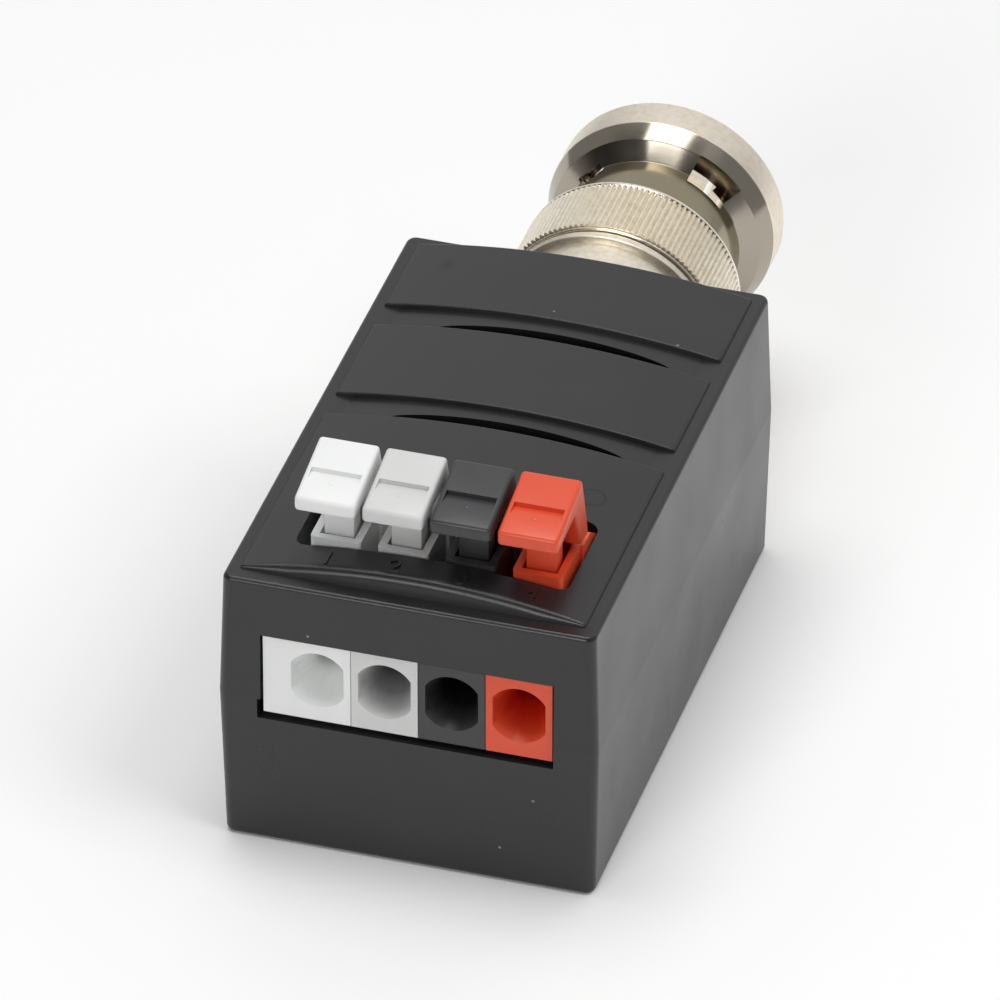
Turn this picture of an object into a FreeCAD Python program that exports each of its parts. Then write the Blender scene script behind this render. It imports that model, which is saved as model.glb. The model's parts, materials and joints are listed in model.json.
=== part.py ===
import FreeCAD, Part
import math
import os

# Passive video balun for one camera: a black two-part plastic box with four push-lever wire
# terminals at the front and a bayonet coaxial plug at the back.
# Millimetres. The box stands on z = 0 and is centred on x = 0, y = 0. Inside the functions y runs
# from the front face (y = 0) to the back, and the finished pieces are moved back by half the
# box's length, so that the terminals face -Y and the plug points along +Y.

# Box
BOX_WIDTH = 22.6
BOX_LENGTH = 37.0
RIM_HEIGHT = 18.0
SEAM_HEIGHT = 10.0
DRAFT = 0.24
CORNER_RADIUS = 0.6
INNER_CORNER_RADIUS = 0.2
RIM_ROUNDING = 0.3
FOOT_ROUNDING = 0.4
WALL = 1.5
ROOF = 1.6
FLOOR = 1.5
TONGUE_THICKNESS = 0.7
TONGUE_HEIGHT = 1.0
TONGUE_STEP = 0.1
SEAM_CLEARANCE = 0.08

# Raised, crowned pads on the roof
PAD_SIDE_MARGIN = 0.8
PAD_FRONT_MARGIN = 1.3
PAD_REAR_MARGIN = 1.15
PAD_EDGE_HEIGHT = 0.16
PAD_CROWN_HEIGHT = 1.1
PAD_ROUNDING = 0.28
FRONT_PAD_LENGTH = 16.1
MIDDLE_PAD_LENGTH = 7.5
GROOVE_WIDTH = 2.1
SLIT_WIDTH = 0.95
SLIT_DEPTH = 1.0
SLIT_HALF_LENGTH = 7.5
GROOVE_CROWN_HEIGHT = 0.32

# Circuit board and its posts
BOARD_THICKNESS = 1.6
BOARD_POST_HEIGHT = 5.95
BOARD_SIDE_GAP = 0.35
BOARD_FRONT = 1.9
BOARD_REAR_GAP = 3.4
POST_SIZE = 2.2

# Terminal modules
PITCH = 4.0
MODULE_GAP = 0.04
END_WALL = 1.25
FACE_INSET = 0.25
MODULE_DEPTH = 11.0
MODULE_HEIGHT = 5.25
MODULE_FLOOR = 1.0
ENTRY_HEIGHT = 2.8
FUNNEL_RADIUS = 1.85
FUNNEL_HALF_WIDTH = 1.57
FUNNEL_DEPTH = 2.2
WIRE_BORE_RADIUS = 0.85
CHIMNEY_WIDTH = 3.0
CHIMNEY_WALL = 0.45
CHIMNEY_LENGTH = 3.75
CHIMNEY_ROUNDING = 0.25
CHIMNEY_RISE = 0.1
CHEEK_THICKNESS = 0.5
CHEEK_STEP = 0.2
CHEEK_LENGTH = 2.6
CHEEK_TOP_LENGTH = 1.35
CHEEK_SLOPE = 0.9

# Windows for the modules
WINDOW_FRONT = 3.65
WINDOW_LENGTH = 6.95
WINDOW_LEFT_GAP = 0.95
WINDOW_RIGHT_GAP = 0.3
WINDOW_CORNER_RADIUS = 0.8
CHIMNEY_FRONT_GAP = 0.2
ENTRY_TOP_GAP = 0.1
ENTRY_SIDE_GAP = 0.1
ENTRY_FOOT_GAP = 0.37
ENTRY_LOWER_SIDE_GAP = 0.3

# Levers
LEVER_GAP = 0.4
LEVER_LIFT = 3.0
LEVER_THICKNESS = 0.95
LEVER_OVERHANG = 2.0
LEVER_LENGTH = 5.0
LEVER_RISE = 1.0
LEVER_ROUNDING = 0.25
ARM_THICKNESS = 1.5
ARM_CUP_GAP = 0.5
PLATE_TAPER = 1.5
PLATE_UNDERSIDE_RISE = 0.35
GRIP_STEP = 0.25
GRIP_RAMP = 0.9
GRIP_INSET = 0.3
PIVOT_DEPTH = 8.7
PIVOT_DROP = 1.6
TRUNNION_RADIUS = 0.6
TRUNNION_CLEARANCE = 0.06
HUB_RADIUS = 0.95
HUB_SIDE_GAP = 0.05
NECK_SIDE_GAP = 0.15
NECK_FRONT_GAP = 0.35
NECK_LENGTH = 1.3
SPRING_GAP = 0.12

# Contacts and clamp springs
STRIP_SIDE_GAP = 0.12
CONTACT_THICKNESS = 0.45
CONTACT_UPRIGHT_HEIGHT = 2.4
PIN_WIDTH = 0.8
PIN_HOLE_CLEARANCE = 0.06
PIN_TAIL = 1.1
SPRING_THICKNESS = 0.25
SPRING_BEND_RUN = 0.55
SPRING_BEND_RISE = 0.5
SPRING_TIP_GAP = 0.75

# Coaxial plug, radii and distances behind the box's back face
AXIS_HEIGHT = 11.2
FLANGE_RADIUS = 7.05
FLANGE_START = 15.1
FLANGE_END = 17.4
FLARE_START = 13.3
FLARE_MIDDLE = 14.0
FLARE_MIDDLE_RADIUS = 6.5
WAIST_RADIUS = 5.4
KNURL_RADIUS = 6.8
KNURL_START = 3.85
KNURL_END = 9.2
KNURL_TEETH = 120
KNURL_DEPTH = 0.14
KNURL_END_BAND = 0.7
KNURL_START_BAND = 0.25
NUT_BORE_RADIUS = 4.95
NUT_LIP_THICKNESS = 1.15
NUT_TRAVEL = 0.9
TRACK_RADIUS = 5.62
TRACK_WIDTH = 2.2
TRACK_ENTRY_ANGLE = 51.0
TRACK_TURN = 85.0
TRACK_ADVANCE = 1.6
TRACK_BORE_OVERLAP = 0.5
LUG_WINDOW_WIDTH = 3.1
LUG_WINDOW_START = 12.9
LUG_WINDOW_END = 14.9
NUT_BEVEL = 0.25
COLLAR_BEVEL = 0.15
RUNNING_CLEARANCE = 0.05
NECK_RADIUS = 4.2
PLUG_FLANGE_CLEARANCE = 0.1
PLUG_FLANGE_THICKNESS = 1.0
THRUST_WASHER_THICKNESS = 0.22
WAVE_WASHER_THICKNESS = 0.22
WAVE_WASHER_HEIGHT = 1.5
WAVE_COUNT = 3
COLLAR_RADIUS = 6.1
COLLAR_RING_RADIUS = 6.5
COLLAR_RING_THICKNESS = 0.6
COLLAR_NUT_GAP = 0.12
WALL_NECK_RADIUS = 4.7
WALL_HOLE_CLEARANCE = 0.05
INNER_FLANGE_RADIUS = 5.3
INNER_FLANGE_ROOF_GAP = 0.08
INNER_FLANGE_THICKNESS = 1.4
SHELL_SEAT_GAP = 0.05
BODY_BORE_RADIUS = 3.4
SLEEVE_RADIUS = 4.05
SLEEVE_WALL = 0.4
SLEEVE_END = 16.2
SLEEVE_SLIT_WIDTH = 0.35
SLEEVE_SLIT_START = 10.2
SLEEVE_SLIT_ANGLES = (45, 135)
INSULATOR_END = 9.9
CENTRE_PIN_RADIUS = 0.675
CENTRE_PIN_END = 15.4
CENTRE_TAIL_RADIUS = 0.4
CENTRE_TAIL_LENGTH = 4.2
GROUND_POST_RADIUS = 0.5
GROUND_POST_SPACING = 7.0
GROUND_POST_LENGTH = 4.0
GASKET_THICKNESS = 0.9

# Parts on the board
CORE_RADIUS = 4.2
CORE_HOLE_RADIUS = 2.2
CORE_HEIGHT = 3.0
CORE_CHAMFER = 0.4
CORE_CHIP_GAP = 0.8
WIRE_RADIUS = 0.18
WIRE_GAP = 0.06
WINDING_TURNS = 12
SUPPRESSOR_SIZE = (2.7, 4.4, 2.2)
SUPPRESSOR_CORE_GAP = 0.2
SUPPRESSOR_MODULE_GAP = 1.4
CHIP_SIZE = (1.6, 3.2, 0.55)
CHIP_SPACING = 3.4
BOARD_PART_ROUNDING = 0.15
CHIP_PLUG_GAP = 3.2

# Sizes and places that follow from those above
HALF_WIDTH = BOX_WIDTH / 2
RIM_HALF_WIDTH = HALF_WIDTH - DRAFT
PAD_HALF_WIDTH = RIM_HALF_WIDTH - PAD_SIDE_MARGIN
PAD_TOP = RIM_HEIGHT + PAD_CROWN_HEIGHT
BOARD_UNDERSIDE = FLOOR + BOARD_POST_HEIGHT
BOARD_TOP = BOARD_UNDERSIDE + BOARD_THICKNESS
BOARD_REAR = BOX_LENGTH - BOARD_REAR_GAP
BOARD_HALF_WIDTH = HALF_WIDTH - DRAFT - WALL - BOARD_SIDE_GAP
MODULE_TOP = BOARD_TOP + MODULE_HEIGHT
MODULE_FLOOR_TOP = BOARD_TOP + MODULE_FLOOR
ENTRY_AXIS = BOARD_TOP + ENTRY_HEIGHT
BLOCK_LEFT = -(4 * PITCH + END_WALL) / 2
BLOCK_RIGHT = -BLOCK_LEFT
CHIMNEY_FRONT = WINDOW_FRONT + CHIMNEY_FRONT_GAP
CHIMNEY_REAR = CHIMNEY_FRONT + CHIMNEY_LENGTH
CHIMNEY_TOP = PAD_TOP + CHIMNEY_RISE
CAVITY_WIDTH = CHIMNEY_WIDTH - 2 * CHIMNEY_WALL
CAVITY_FRONT = CHIMNEY_FRONT + CHIMNEY_WALL
CAVITY_REAR = MODULE_DEPTH - 2 * CHIMNEY_WALL
CHEEK_REAR = PIVOT_DEPTH + CHEEK_LENGTH / 2
CHEEK_FRONT = PIVOT_DEPTH - CHEEK_LENGTH / 2
PIVOT_HEIGHT = CHIMNEY_TOP - PIVOT_DROP
LEVER_HALF_WIDTH = (PITCH - LEVER_GAP) / 2
CHEEK_INNER = CHIMNEY_WIDTH / 2 + CHEEK_STEP - CHEEK_THICKNESS
HUB_HALF_WIDTH = CHEEK_INNER - HUB_SIDE_GAP
LEVER_FRONT = CHIMNEY_FRONT - LEVER_OVERHANG
LEVER_BACK = LEVER_FRONT + LEVER_LENGTH
LEVER_UNDERSIDE = CHIMNEY_TOP + LEVER_LIFT
LEVER_FOOT = CHIMNEY_TOP + ARM_CUP_GAP
ARM_REAR = PIVOT_DEPTH - TRUNNION_RADIUS
ARM_FRONT = ARM_REAR - ARM_THICKNESS
NECK_FRONT = CAVITY_FRONT + NECK_FRONT_GAP
NECK_REAR = NECK_FRONT + NECK_LENGTH
STRIP_HALF_WIDTH = CAVITY_WIDTH / 2 - STRIP_SIDE_GAP
BLADE_TOP = ENTRY_AXIS - WIRE_BORE_RADIUS
UPRIGHT_REAR = CAVITY_REAR - STRIP_SIDE_GAP
UPRIGHT_FRONT = UPRIGHT_REAR - CONTACT_THICKNESS
PLUG_BASE = BOX_LENGTH
NUT_LIP_END = KNURL_START + NUT_LIP_THICKNESS
WASHER_OUTER_RADIUS = NUT_BORE_RADIUS - 2 * RUNNING_CLEARANCE
WASHER_INNER_RADIUS = NECK_RADIUS + RUNNING_CLEARANCE
PLUG_FLANGE_RADIUS = NUT_BORE_RADIUS - PLUG_FLANGE_CLEARANCE
THRUST_START = NUT_LIP_END
WAVE_START = THRUST_START + THRUST_WASHER_THICKNESS
PLUG_FLANGE_START = WAVE_START + WAVE_WASHER_HEIGHT
PLUG_FLANGE_END = PLUG_FLANGE_START + PLUG_FLANGE_THICKNESS
TRACK_START = FLARE_MIDDLE + TRACK_WIDTH / 2
COLLAR_END = KNURL_START - COLLAR_NUT_GAP
INNER_FLANGE_FRONT = -WALL - DRAFT - SHELL_SEAT_GAP
INNER_FLANGE_BACK = INNER_FLANGE_FRONT - INNER_FLANGE_THICKNESS
CHIP_POSITION = PLUG_BASE + INNER_FLANGE_BACK - CHIP_PLUG_GAP - CHIP_SIZE[1] / 2
WIRE_REACH = 2 * WIRE_RADIUS + WIRE_GAP
CORE_POSITION = CHIP_POSITION - CHIP_SIZE[1] / 2 - CORE_CHIP_GAP - WIRE_REACH - CORE_RADIUS
CORE_UNDERSIDE = BOARD_TOP + WIRE_REACH + WIRE_GAP
SUPPRESSOR_POSITION = MODULE_DEPTH + SUPPRESSOR_MODULE_GAP + SUPPRESSOR_SIZE[1] / 2
SUPPRESSOR_OFFSET = CORE_RADIUS + WIRE_REACH + SUPPRESSOR_CORE_GAP + SUPPRESSOR_SIZE[0] / 2

COLOURS = ("white", "grey", "black", "red")


def vec(x, y, z):
    return FreeCAD.Vector(x, y, z)


def box(x0, x1, y0, y1, z0, z1):
    return Part.makeBox(x1 - x0, y1 - y0, z1 - z0, vec(x0, y0, z0))


def prism_across(points, x0, x1):
    """Extrude a side outline of (y, z) points from x0 to x1."""
    corners = [vec(x0, y, z) for y, z in points]
    face = Part.Face(Part.makePolygon(corners + corners[:1]))
    return face.extrude(vec(x1 - x0, 0, 0))


def tube_along(radius, y0, y1, x=0.0, z=AXIS_HEIGHT):
    """A round bar along y."""
    return Part.makeCylinder(radius, y1 - y0, vec(x, y0, z), vec(0, 1, 0))


def turned(profile):
    """Turn a closed outline of (radius, distance behind the box) about the plug's axis."""
    corners = [vec(r, PLUG_BASE + y, AXIS_HEIGHT) for r, y in profile]
    face = Part.Face(Part.makePolygon(corners + corners[:1]))
    return face.revolve(vec(0, 0, AXIS_HEIGHT), vec(0, 1, 0), 360)


def ring(outer, inner, y0, y1):
    return turned([(inner, y0), (outer, y0), (outer, y1), (inner, y1)])


def fused(shapes):
    whole = shapes[0].multiFuse(shapes[1:])
    return whole.removeSplitter()


def place_on_axis(shape, angle):
    """Turn a cutter that was built above the plug's axis to its angle, counted from +x."""
    copy = shape.copy()
    copy.rotate(vec(0, 0, AXIS_HEIGHT), vec(0, 1, 0), 90 - angle)
    return copy


def module_centre(index):
    return BLOCK_LEFT + END_WALL + (index + 0.5) * PITCH


def rounded_outline(half_width, y0, y1, radius, z):
    """A rectangle with rounded corners, as a closed wire at height z."""
    k = radius * (1 - math.sqrt(0.5))
    x = half_width
    r = radius
    straight = [((-x + r, y0), (x - r, y0)), ((x, y0 + r), (x, y1 - r)),
                ((x - r, y1), (-x + r, y1)), ((-x, y1 - r), (-x, y0 + r))]
    middles = [(x - k, y0 + k), (x - k, y1 - k), (-x + k, y1 - k), (-x + k, y0 + k)]
    edges = []
    for i in range(4):
        start, end = straight[i]
        after = straight[(i + 1) % 4][0]
        edges.append(Part.LineSegment(vec(*start, z), vec(*end, z)).toShape())
        edges.append(Part.Arc(vec(*end, z), vec(*middles[i], z), vec(*after, z)).toShape())
    return Part.Wire(edges)


def draft_at(z):
    if z >= SEAM_HEIGHT:
        return DRAFT * (z - SEAM_HEIGHT) / (RIM_HEIGHT - SEAM_HEIGHT)
    return DRAFT * (SEAM_HEIGHT - z) / SEAM_HEIGHT


def drafted_block(offset, z0, z1):
    """The box's form between two heights, drawn in by an offset on every side."""
    low, high = offset + draft_at(z0), offset + draft_at(z1)
    across = [vec(-HALF_WIDTH + low, 0, z0), vec(HALF_WIDTH - low, 0, z0),
              vec(HALF_WIDTH - high, 0, z1), vec(-HALF_WIDTH + high, 0, z1)]
    face = Part.Face(Part.makePolygon(across + across[:1]))
    along = prism_across([(low, z0), (BOX_LENGTH - low, z0), (BOX_LENGTH - high, z1), (high, z1)],
                         -HALF_WIDTH, HALF_WIDTH)
    block = face.extrude(vec(0, BOX_LENGTH, 0)).common(along)
    middle = (z0 + z1) / 2
    upright = [e for e in block.Edges if min(v.Z for v in e.Vertexes) < middle
               and max(v.Z for v in e.Vertexes) > middle]
    return block.makeFillet(max(CORNER_RADIUS - offset, INNER_CORNER_RADIUS), upright)


def rounded_at_height(shape, z, radius):
    """Round the edges that lie in one level."""
    near = 1e-4
    level = [e for e in shape.Edges if all(abs(v.Z - z) < near for v in e.Vertexes)]
    return shape.makeFillet(radius, level)


def pad_spans():
    """Front and rear end of each raised pad."""
    front_end = PAD_FRONT_MARGIN + FRONT_PAD_LENGTH
    middle_start = front_end + GROOVE_WIDTH
    middle_end = middle_start + MIDDLE_PAD_LENGTH
    rear_start = middle_end + GROOVE_WIDTH
    return [(PAD_FRONT_MARGIN, front_end), (middle_start, middle_end),
            (rear_start, BOX_LENGTH - PAD_REAR_MARGIN)]


def pad(y0, y1):
    """One pad: low at its sides and crowned across the middle."""
    low = RIM_HEIGHT - ROOF / 2
    side = RIM_HEIGHT + PAD_EDGE_HEIGHT
    x = PAD_HALF_WIDTH
    crown = Part.Arc(vec(x, y0, side), vec(0, y0, PAD_TOP), vec(-x, y0, side)).toShape()
    lines = [Part.LineSegment(vec(*a), vec(*b)).toShape() for a, b in
             (((-x, y0, side), (-x, y0, low)), ((-x, y0, low), (x, y0, low)),
              ((x, y0, low), (x, y0, side)))]
    solid = Part.Face(Part.Wire([crown] + lines)).extrude(vec(0, y1 - y0, 0))
    upper = [e for e in solid.Edges if all(v.Z > RIM_HEIGHT for v in e.Vertexes)]
    return solid.makeFillet(PAD_ROUNDING, upper)


def groove_floor(y0, y1):
    """The roof between two pads, crowned as they are but lower and narrower."""
    low = RIM_HEIGHT - ROOF / 2
    pad_rise = PAD_CROWN_HEIGHT - PAD_EDGE_HEIGHT
    radius = (PAD_HALF_WIDTH ** 2 + pad_rise ** 2) / (2 * pad_rise)
    x = math.sqrt(radius ** 2 - (radius - GROOVE_CROWN_HEIGHT) ** 2)
    crown = Part.Arc(vec(x, y0, RIM_HEIGHT), vec(0, y0, RIM_HEIGHT + GROOVE_CROWN_HEIGHT),
                     vec(-x, y0, RIM_HEIGHT)).toShape()
    lines = [Part.LineSegment(vec(*a), vec(*b)).toShape() for a, b in
             (((-x, y0, RIM_HEIGHT), (-x, y0, low)), ((-x, y0, low), (x, y0, low)),
              ((x, y0, low), (x, y0, RIM_HEIGHT)))]
    return Part.Face(Part.Wire([crown] + lines)).extrude(vec(0, y1 - y0, 0))


def groove_slit(y):
    """A lens-shaped slit along the foot of the pad that starts at y."""
    x = SLIT_HALF_LENGTH
    top = RIM_HEIGHT + GROOVE_CROWN_HEIGHT + PAD_EDGE_HEIGHT / 2
    line = Part.LineSegment(vec(-x, y, top), vec(x, y, top)).toShape()
    bow = Part.Arc(vec(x, y, top), vec(0, y - SLIT_WIDTH, top), vec(-x, y, top)).toShape()
    return Part.Face(Part.Wire([line, bow])).extrude(vec(0, 0, RIM_HEIGHT - SLIT_DEPTH - top))


def lever_window():
    """The rounded window in the roof that the modules and levers stand in."""
    left = module_centre(0) - CHIMNEY_WIDTH / 2 - WINDOW_LEFT_GAP
    right = module_centre(3) + CHIMNEY_WIDTH / 2 + WINDOW_RIGHT_GAP
    middle = (left + right) / 2
    outline = rounded_outline((right - left) / 2, WINDOW_FRONT, WINDOW_FRONT + WINDOW_LENGTH,
                              WINDOW_CORNER_RADIUS, MODULE_TOP)
    outline.translate(vec(middle, 0, 0))
    return Part.Face(outline).extrude(vec(0, 0, PAD_TOP + 1 - MODULE_TOP))


def entry_window(side_gap, z0, z1):
    """The cut in the front wall that shows the modules' faces."""
    return box(BLOCK_LEFT - side_gap, BLOCK_RIGHT + ENTRY_SIDE_GAP, -1, 2 * WALL, z0, z1)


def wall_hole():
    """The hole in the back wall: round, with straight sides down to the seam."""
    radius = WALL_NECK_RADIUS + WALL_HOLE_CLEARANCE
    start = BOX_LENGTH - 2 * WALL
    hole = tube_along(radius, start, BOX_LENGTH + 1)
    low = min(SEAM_HEIGHT, AXIS_HEIGHT)
    high = max(SEAM_HEIGHT, AXIS_HEIGHT) + WALL_HOLE_CLEARANCE
    return hole.fuse(box(-radius, radius, start, BOX_LENGTH + 1, low, high))


def make_top_shell():
    outer = rounded_at_height(drafted_block(0, SEAM_HEIGHT, RIM_HEIGHT), RIM_HEIGHT, RIM_ROUNDING)
    spans = pad_spans()
    floors = [groove_floor(before[1], after[0]) for before, after in zip(spans, spans[1:])]
    shell = fused([outer] + [pad(y0, y1) for y0, y1 in spans] + floors)
    cuts = [drafted_block(WALL, SEAM_HEIGHT, RIM_HEIGHT - ROOF)]
    rebate_top = SEAM_HEIGHT + TONGUE_HEIGHT + SEAM_CLEARANCE
    cuts.append(drafted_block(WALL - TONGUE_THICKNESS - SEAM_CLEARANCE, SEAM_HEIGHT, rebate_top))
    cuts += [groove_slit(y0) for y0, _ in spans[1:]]
    cuts.append(lever_window())
    cuts.append(entry_window(ENTRY_SIDE_GAP, SEAM_HEIGHT - 1, MODULE_TOP + ENTRY_TOP_GAP))
    cuts.append(wall_hole())
    shell = shell.cut(cuts)
    return fused([shell] + roof_posts())


def roof_posts():
    """Posts under the roof that hold the board down at its rear corners."""
    posts = []
    for side in (-1, 1):
        x = side * (BOARD_HALF_WIDTH - POST_SIZE / 2)
        posts.append(box(x - POST_SIZE / 2, x + POST_SIZE / 2, BOARD_REAR - POST_SIZE, BOARD_REAR,
                         BOARD_TOP, RIM_HEIGHT - ROOF / 2))
    return posts


def make_bottom_shell():
    block = rounded_at_height(drafted_block(0, 0, SEAM_HEIGHT), 0, FOOT_ROUNDING)
    tray = block.cut(drafted_block(WALL, FLOOR, SEAM_HEIGHT))
    tongue_top = SEAM_HEIGHT + TONGUE_HEIGHT
    tongue = drafted_block(WALL - TONGUE_THICKNESS, SEAM_HEIGHT, tongue_top)
    rim = tongue.cut(drafted_block(WALL - TONGUE_STEP, SEAM_HEIGHT, tongue_top))
    front_cut = entry_window(ENTRY_LOWER_SIDE_GAP, BOARD_TOP - ENTRY_FOOT_GAP, tongue_top + 1)
    cuts = [front_cut, wall_hole()]
    return fused([tray.cut(cuts), rim.cut(cuts)] + board_posts())


def board_posts():
    """Six posts on the floor that carry the board."""
    posts = []
    middle = (BOARD_FRONT + BOARD_REAR - POST_SIZE) / 2
    for side in (-1, 1):
        x = side * (BOARD_HALF_WIDTH - POST_SIZE / 2)
        for y in (BOARD_FRONT, middle, BOARD_REAR - POST_SIZE):
            posts.append(box(x - POST_SIZE / 2, x + POST_SIZE / 2, y, y + POST_SIZE,
                             FLOOR / 2, BOARD_UNDERSIDE))
    return posts


def pin_hole(index, clearance, z0, z1):
    x = module_centre(index)
    half = PIN_WIDTH / 2 + clearance
    return box(x - half, x + half, UPRIGHT_FRONT - clearance, UPRIGHT_REAR + clearance, z0, z1)


def make_circuit_board():
    board = box(-BOARD_HALF_WIDTH, BOARD_HALF_WIDTH, BOARD_FRONT, BOARD_REAR,
                BOARD_UNDERSIDE, BOARD_TOP)
    holes = [pin_hole(i, PIN_HOLE_CLEARANCE, BOARD_UNDERSIDE - 1, BOARD_TOP + 1) for i in range(4)]
    return board.cut(holes)


def wire_entry(x):
    """Funnel with flat sides, then a round bore into the module's cavity."""
    funnel = Part.makeCone(FUNNEL_RADIUS, WIRE_BORE_RADIUS, FUNNEL_DEPTH,
                           vec(x, FACE_INSET, ENTRY_AXIS), vec(0, 1, 0))
    slab = box(x - FUNNEL_HALF_WIDTH, x + FUNNEL_HALF_WIDTH, FACE_INSET - 1,
               FACE_INSET + FUNNEL_DEPTH, BOARD_TOP, MODULE_TOP)
    bore = tube_along(WIRE_BORE_RADIUS, FACE_INSET, CAVITY_FRONT + CHIMNEY_WALL, x, ENTRY_AXIS)
    return funnel.common(slab).fuse(bore)


def make_terminal_body(index):
    x = module_centre(index)
    left = x - PITCH / 2 - (END_WALL if index == 0 else 0) + MODULE_GAP / 2
    right = x + PITCH / 2 - MODULE_GAP / 2
    half = CHIMNEY_WIDTH / 2
    chimney = box(x - half, x + half, CHIMNEY_FRONT, CHIMNEY_REAR, MODULE_FLOOR_TOP, CHIMNEY_TOP)
    front_corners = [e for e in chimney.Edges if all(v.Y < CHIMNEY_REAR for v in e.Vertexes)
                     and e.Vertexes[0].X == e.Vertexes[1].X]
    pieces = [box(left, right, FACE_INSET, MODULE_DEPTH, BOARD_TOP, MODULE_TOP),
              chimney.makeFillet(CHIMNEY_ROUNDING, front_corners)]
    top_end = CHEEK_FRONT + CHEEK_TOP_LENGTH
    cheek = [(CHEEK_FRONT, MODULE_TOP), (CHEEK_FRONT, CHIMNEY_TOP), (top_end, CHIMNEY_TOP),
             (CHEEK_REAR, CHIMNEY_TOP - CHEEK_SLOPE), (CHEEK_REAR, MODULE_TOP)]
    for side in (-1, 1):
        inner = x + side * CHEEK_INNER
        pieces.append(prism_across(cheek, inner, inner + side * CHEEK_THICKNESS))
    body = fused(pieces)
    half = CAVITY_WIDTH / 2
    cuts = [box(x - half, x + half, CAVITY_FRONT, CAVITY_REAR, MODULE_FLOOR_TOP, MODULE_TOP),
            box(x - half, x + half, CAVITY_FRONT, CHIMNEY_REAR, MODULE_TOP, CHIMNEY_TOP),
            Part.makeCylinder(TRUNNION_RADIUS + TRUNNION_CLEARANCE, PITCH,
                              vec(x - PITCH / 2, PIVOT_DEPTH, PIVOT_HEIGHT), vec(1, 0, 0)),
            pin_hole(index, PIN_HOLE_CLEARANCE, BOARD_TOP, MODULE_FLOOR_TOP),
            wire_entry(x)]
    return body.cut(cuts)


def grip_step(x):
    """The wedge cut out of the lever's top, with its upright side to the rear."""
    slope = LEVER_RISE / LEVER_LENGTH
    y = LEVER_FRONT + LEVER_LENGTH / 2
    top = LEVER_UNDERSIDE + LEVER_THICKNESS + slope * LEVER_LENGTH / 2
    half = LEVER_HALF_WIDTH - GRIP_INSET
    return prism_across([(y, top - GRIP_STEP), (y, top + GRIP_STEP),
                         (y - GRIP_RAMP, top + GRIP_STEP), (y - GRIP_RAMP, top - slope * GRIP_RAMP)],
                        x - half, x + half)


def lever_head(x):
    """The wide part: a sloping finger plate and the arm that leads down to the cup's rear."""
    outline = [(LEVER_FRONT, LEVER_UNDERSIDE), (LEVER_FRONT, LEVER_UNDERSIDE + LEVER_THICKNESS),
               (LEVER_BACK, LEVER_UNDERSIDE + LEVER_THICKNESS + LEVER_RISE),
               (LEVER_BACK + LEVER_THICKNESS / 2, LEVER_UNDERSIDE + LEVER_THICKNESS / 2),
               (ARM_REAR, LEVER_FOOT), (ARM_FRONT, LEVER_FOOT),
               (LEVER_BACK - PLATE_TAPER, LEVER_UNDERSIDE + PLATE_UNDERSIDE_RISE)]
    head = prism_across(outline, x - LEVER_HALF_WIDTH, x + LEVER_HALF_WIDTH)
    level = LEVER_UNDERSIDE + LEVER_THICKNESS - LEVER_ROUNDING / 2
    plate_edges = [e for e in head.Edges if all(v.Z > level for v in e.Vertexes)
                   or all(v.Y < LEVER_FRONT + LEVER_ROUNDING / 2 for v in e.Vertexes)]
    return head.makeFillet(LEVER_ROUNDING, plate_edges).cut(grip_step(x))


def make_lever(index):
    x = module_centre(index)
    top = LEVER_FOOT + LEVER_THICKNESS / 2
    half = CAVITY_WIDTH / 2 - NECK_SIDE_GAP
    side = HUB_RADIUS * math.sqrt(0.5)
    stem = prism_across([(ARM_FRONT, top), (ARM_REAR, top), (PIVOT_DEPTH + side, PIVOT_HEIGHT + side),
                         (PIVOT_DEPTH - side, PIVOT_HEIGHT - side)], x - half, x + half)
    reach = HUB_HALF_WIDTH
    hub = Part.makeCylinder(HUB_RADIUS, 2 * reach,
                            vec(x - reach, PIVOT_DEPTH, PIVOT_HEIGHT), vec(1, 0, 0))
    reach = HUB_HALF_WIDTH + CHEEK_THICKNESS
    trunnion = Part.makeCylinder(TRUNNION_RADIUS, 2 * reach,
                                 vec(x - reach, PIVOT_DEPTH, PIVOT_HEIGHT), vec(1, 0, 0))
    inside = LEVER_UNDERSIDE + LEVER_THICKNESS / 2
    low = spring_leg_top(NECK_REAR) + SPRING_GAP
    neck = prism_across([(NECK_FRONT, inside), (NECK_FRONT, low), (NECK_REAR, low), (NECK_REAR, top),
                         (ARM_FRONT + LEVER_THICKNESS / 2, top), (LEVER_BACK - LEVER_THICKNESS, inside)],
                        x - half, x + half)
    return fused([lever_head(x), stem, hub, trunnion, neck])


def spring_points():
    """Middle line of the clamp spring: up the contact, over a bend, and down to the wire."""
    anchor = UPRIGHT_FRONT - SPRING_THICKNESS / 2 - SPRING_GAP / 2
    bend_top = MODULE_TOP - SPRING_THICKNESS
    low = BLADE_TOP + SPRING_THICKNESS
    tip = CAVITY_FRONT + SPRING_TIP_GAP
    return [(anchor, low + SPRING_GAP), (anchor, bend_top - SPRING_BEND_RISE),
            (anchor - SPRING_BEND_RUN, bend_top), (tip, low)]


def spring_leg_top(y):
    """Height of the spring's leg at a distance y from the front."""
    _, _, (y1, z1), (y0, z0) = spring_points()
    along = (y - y0) / (y1 - y0)
    return z0 + along * (z1 - z0) + SPRING_THICKNESS


def make_clamp_spring(index):
    x = module_centre(index)
    half = STRIP_HALF_WIDTH
    return strip_outline(spring_points(), SPRING_THICKNESS, x - half, x + half)


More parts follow.
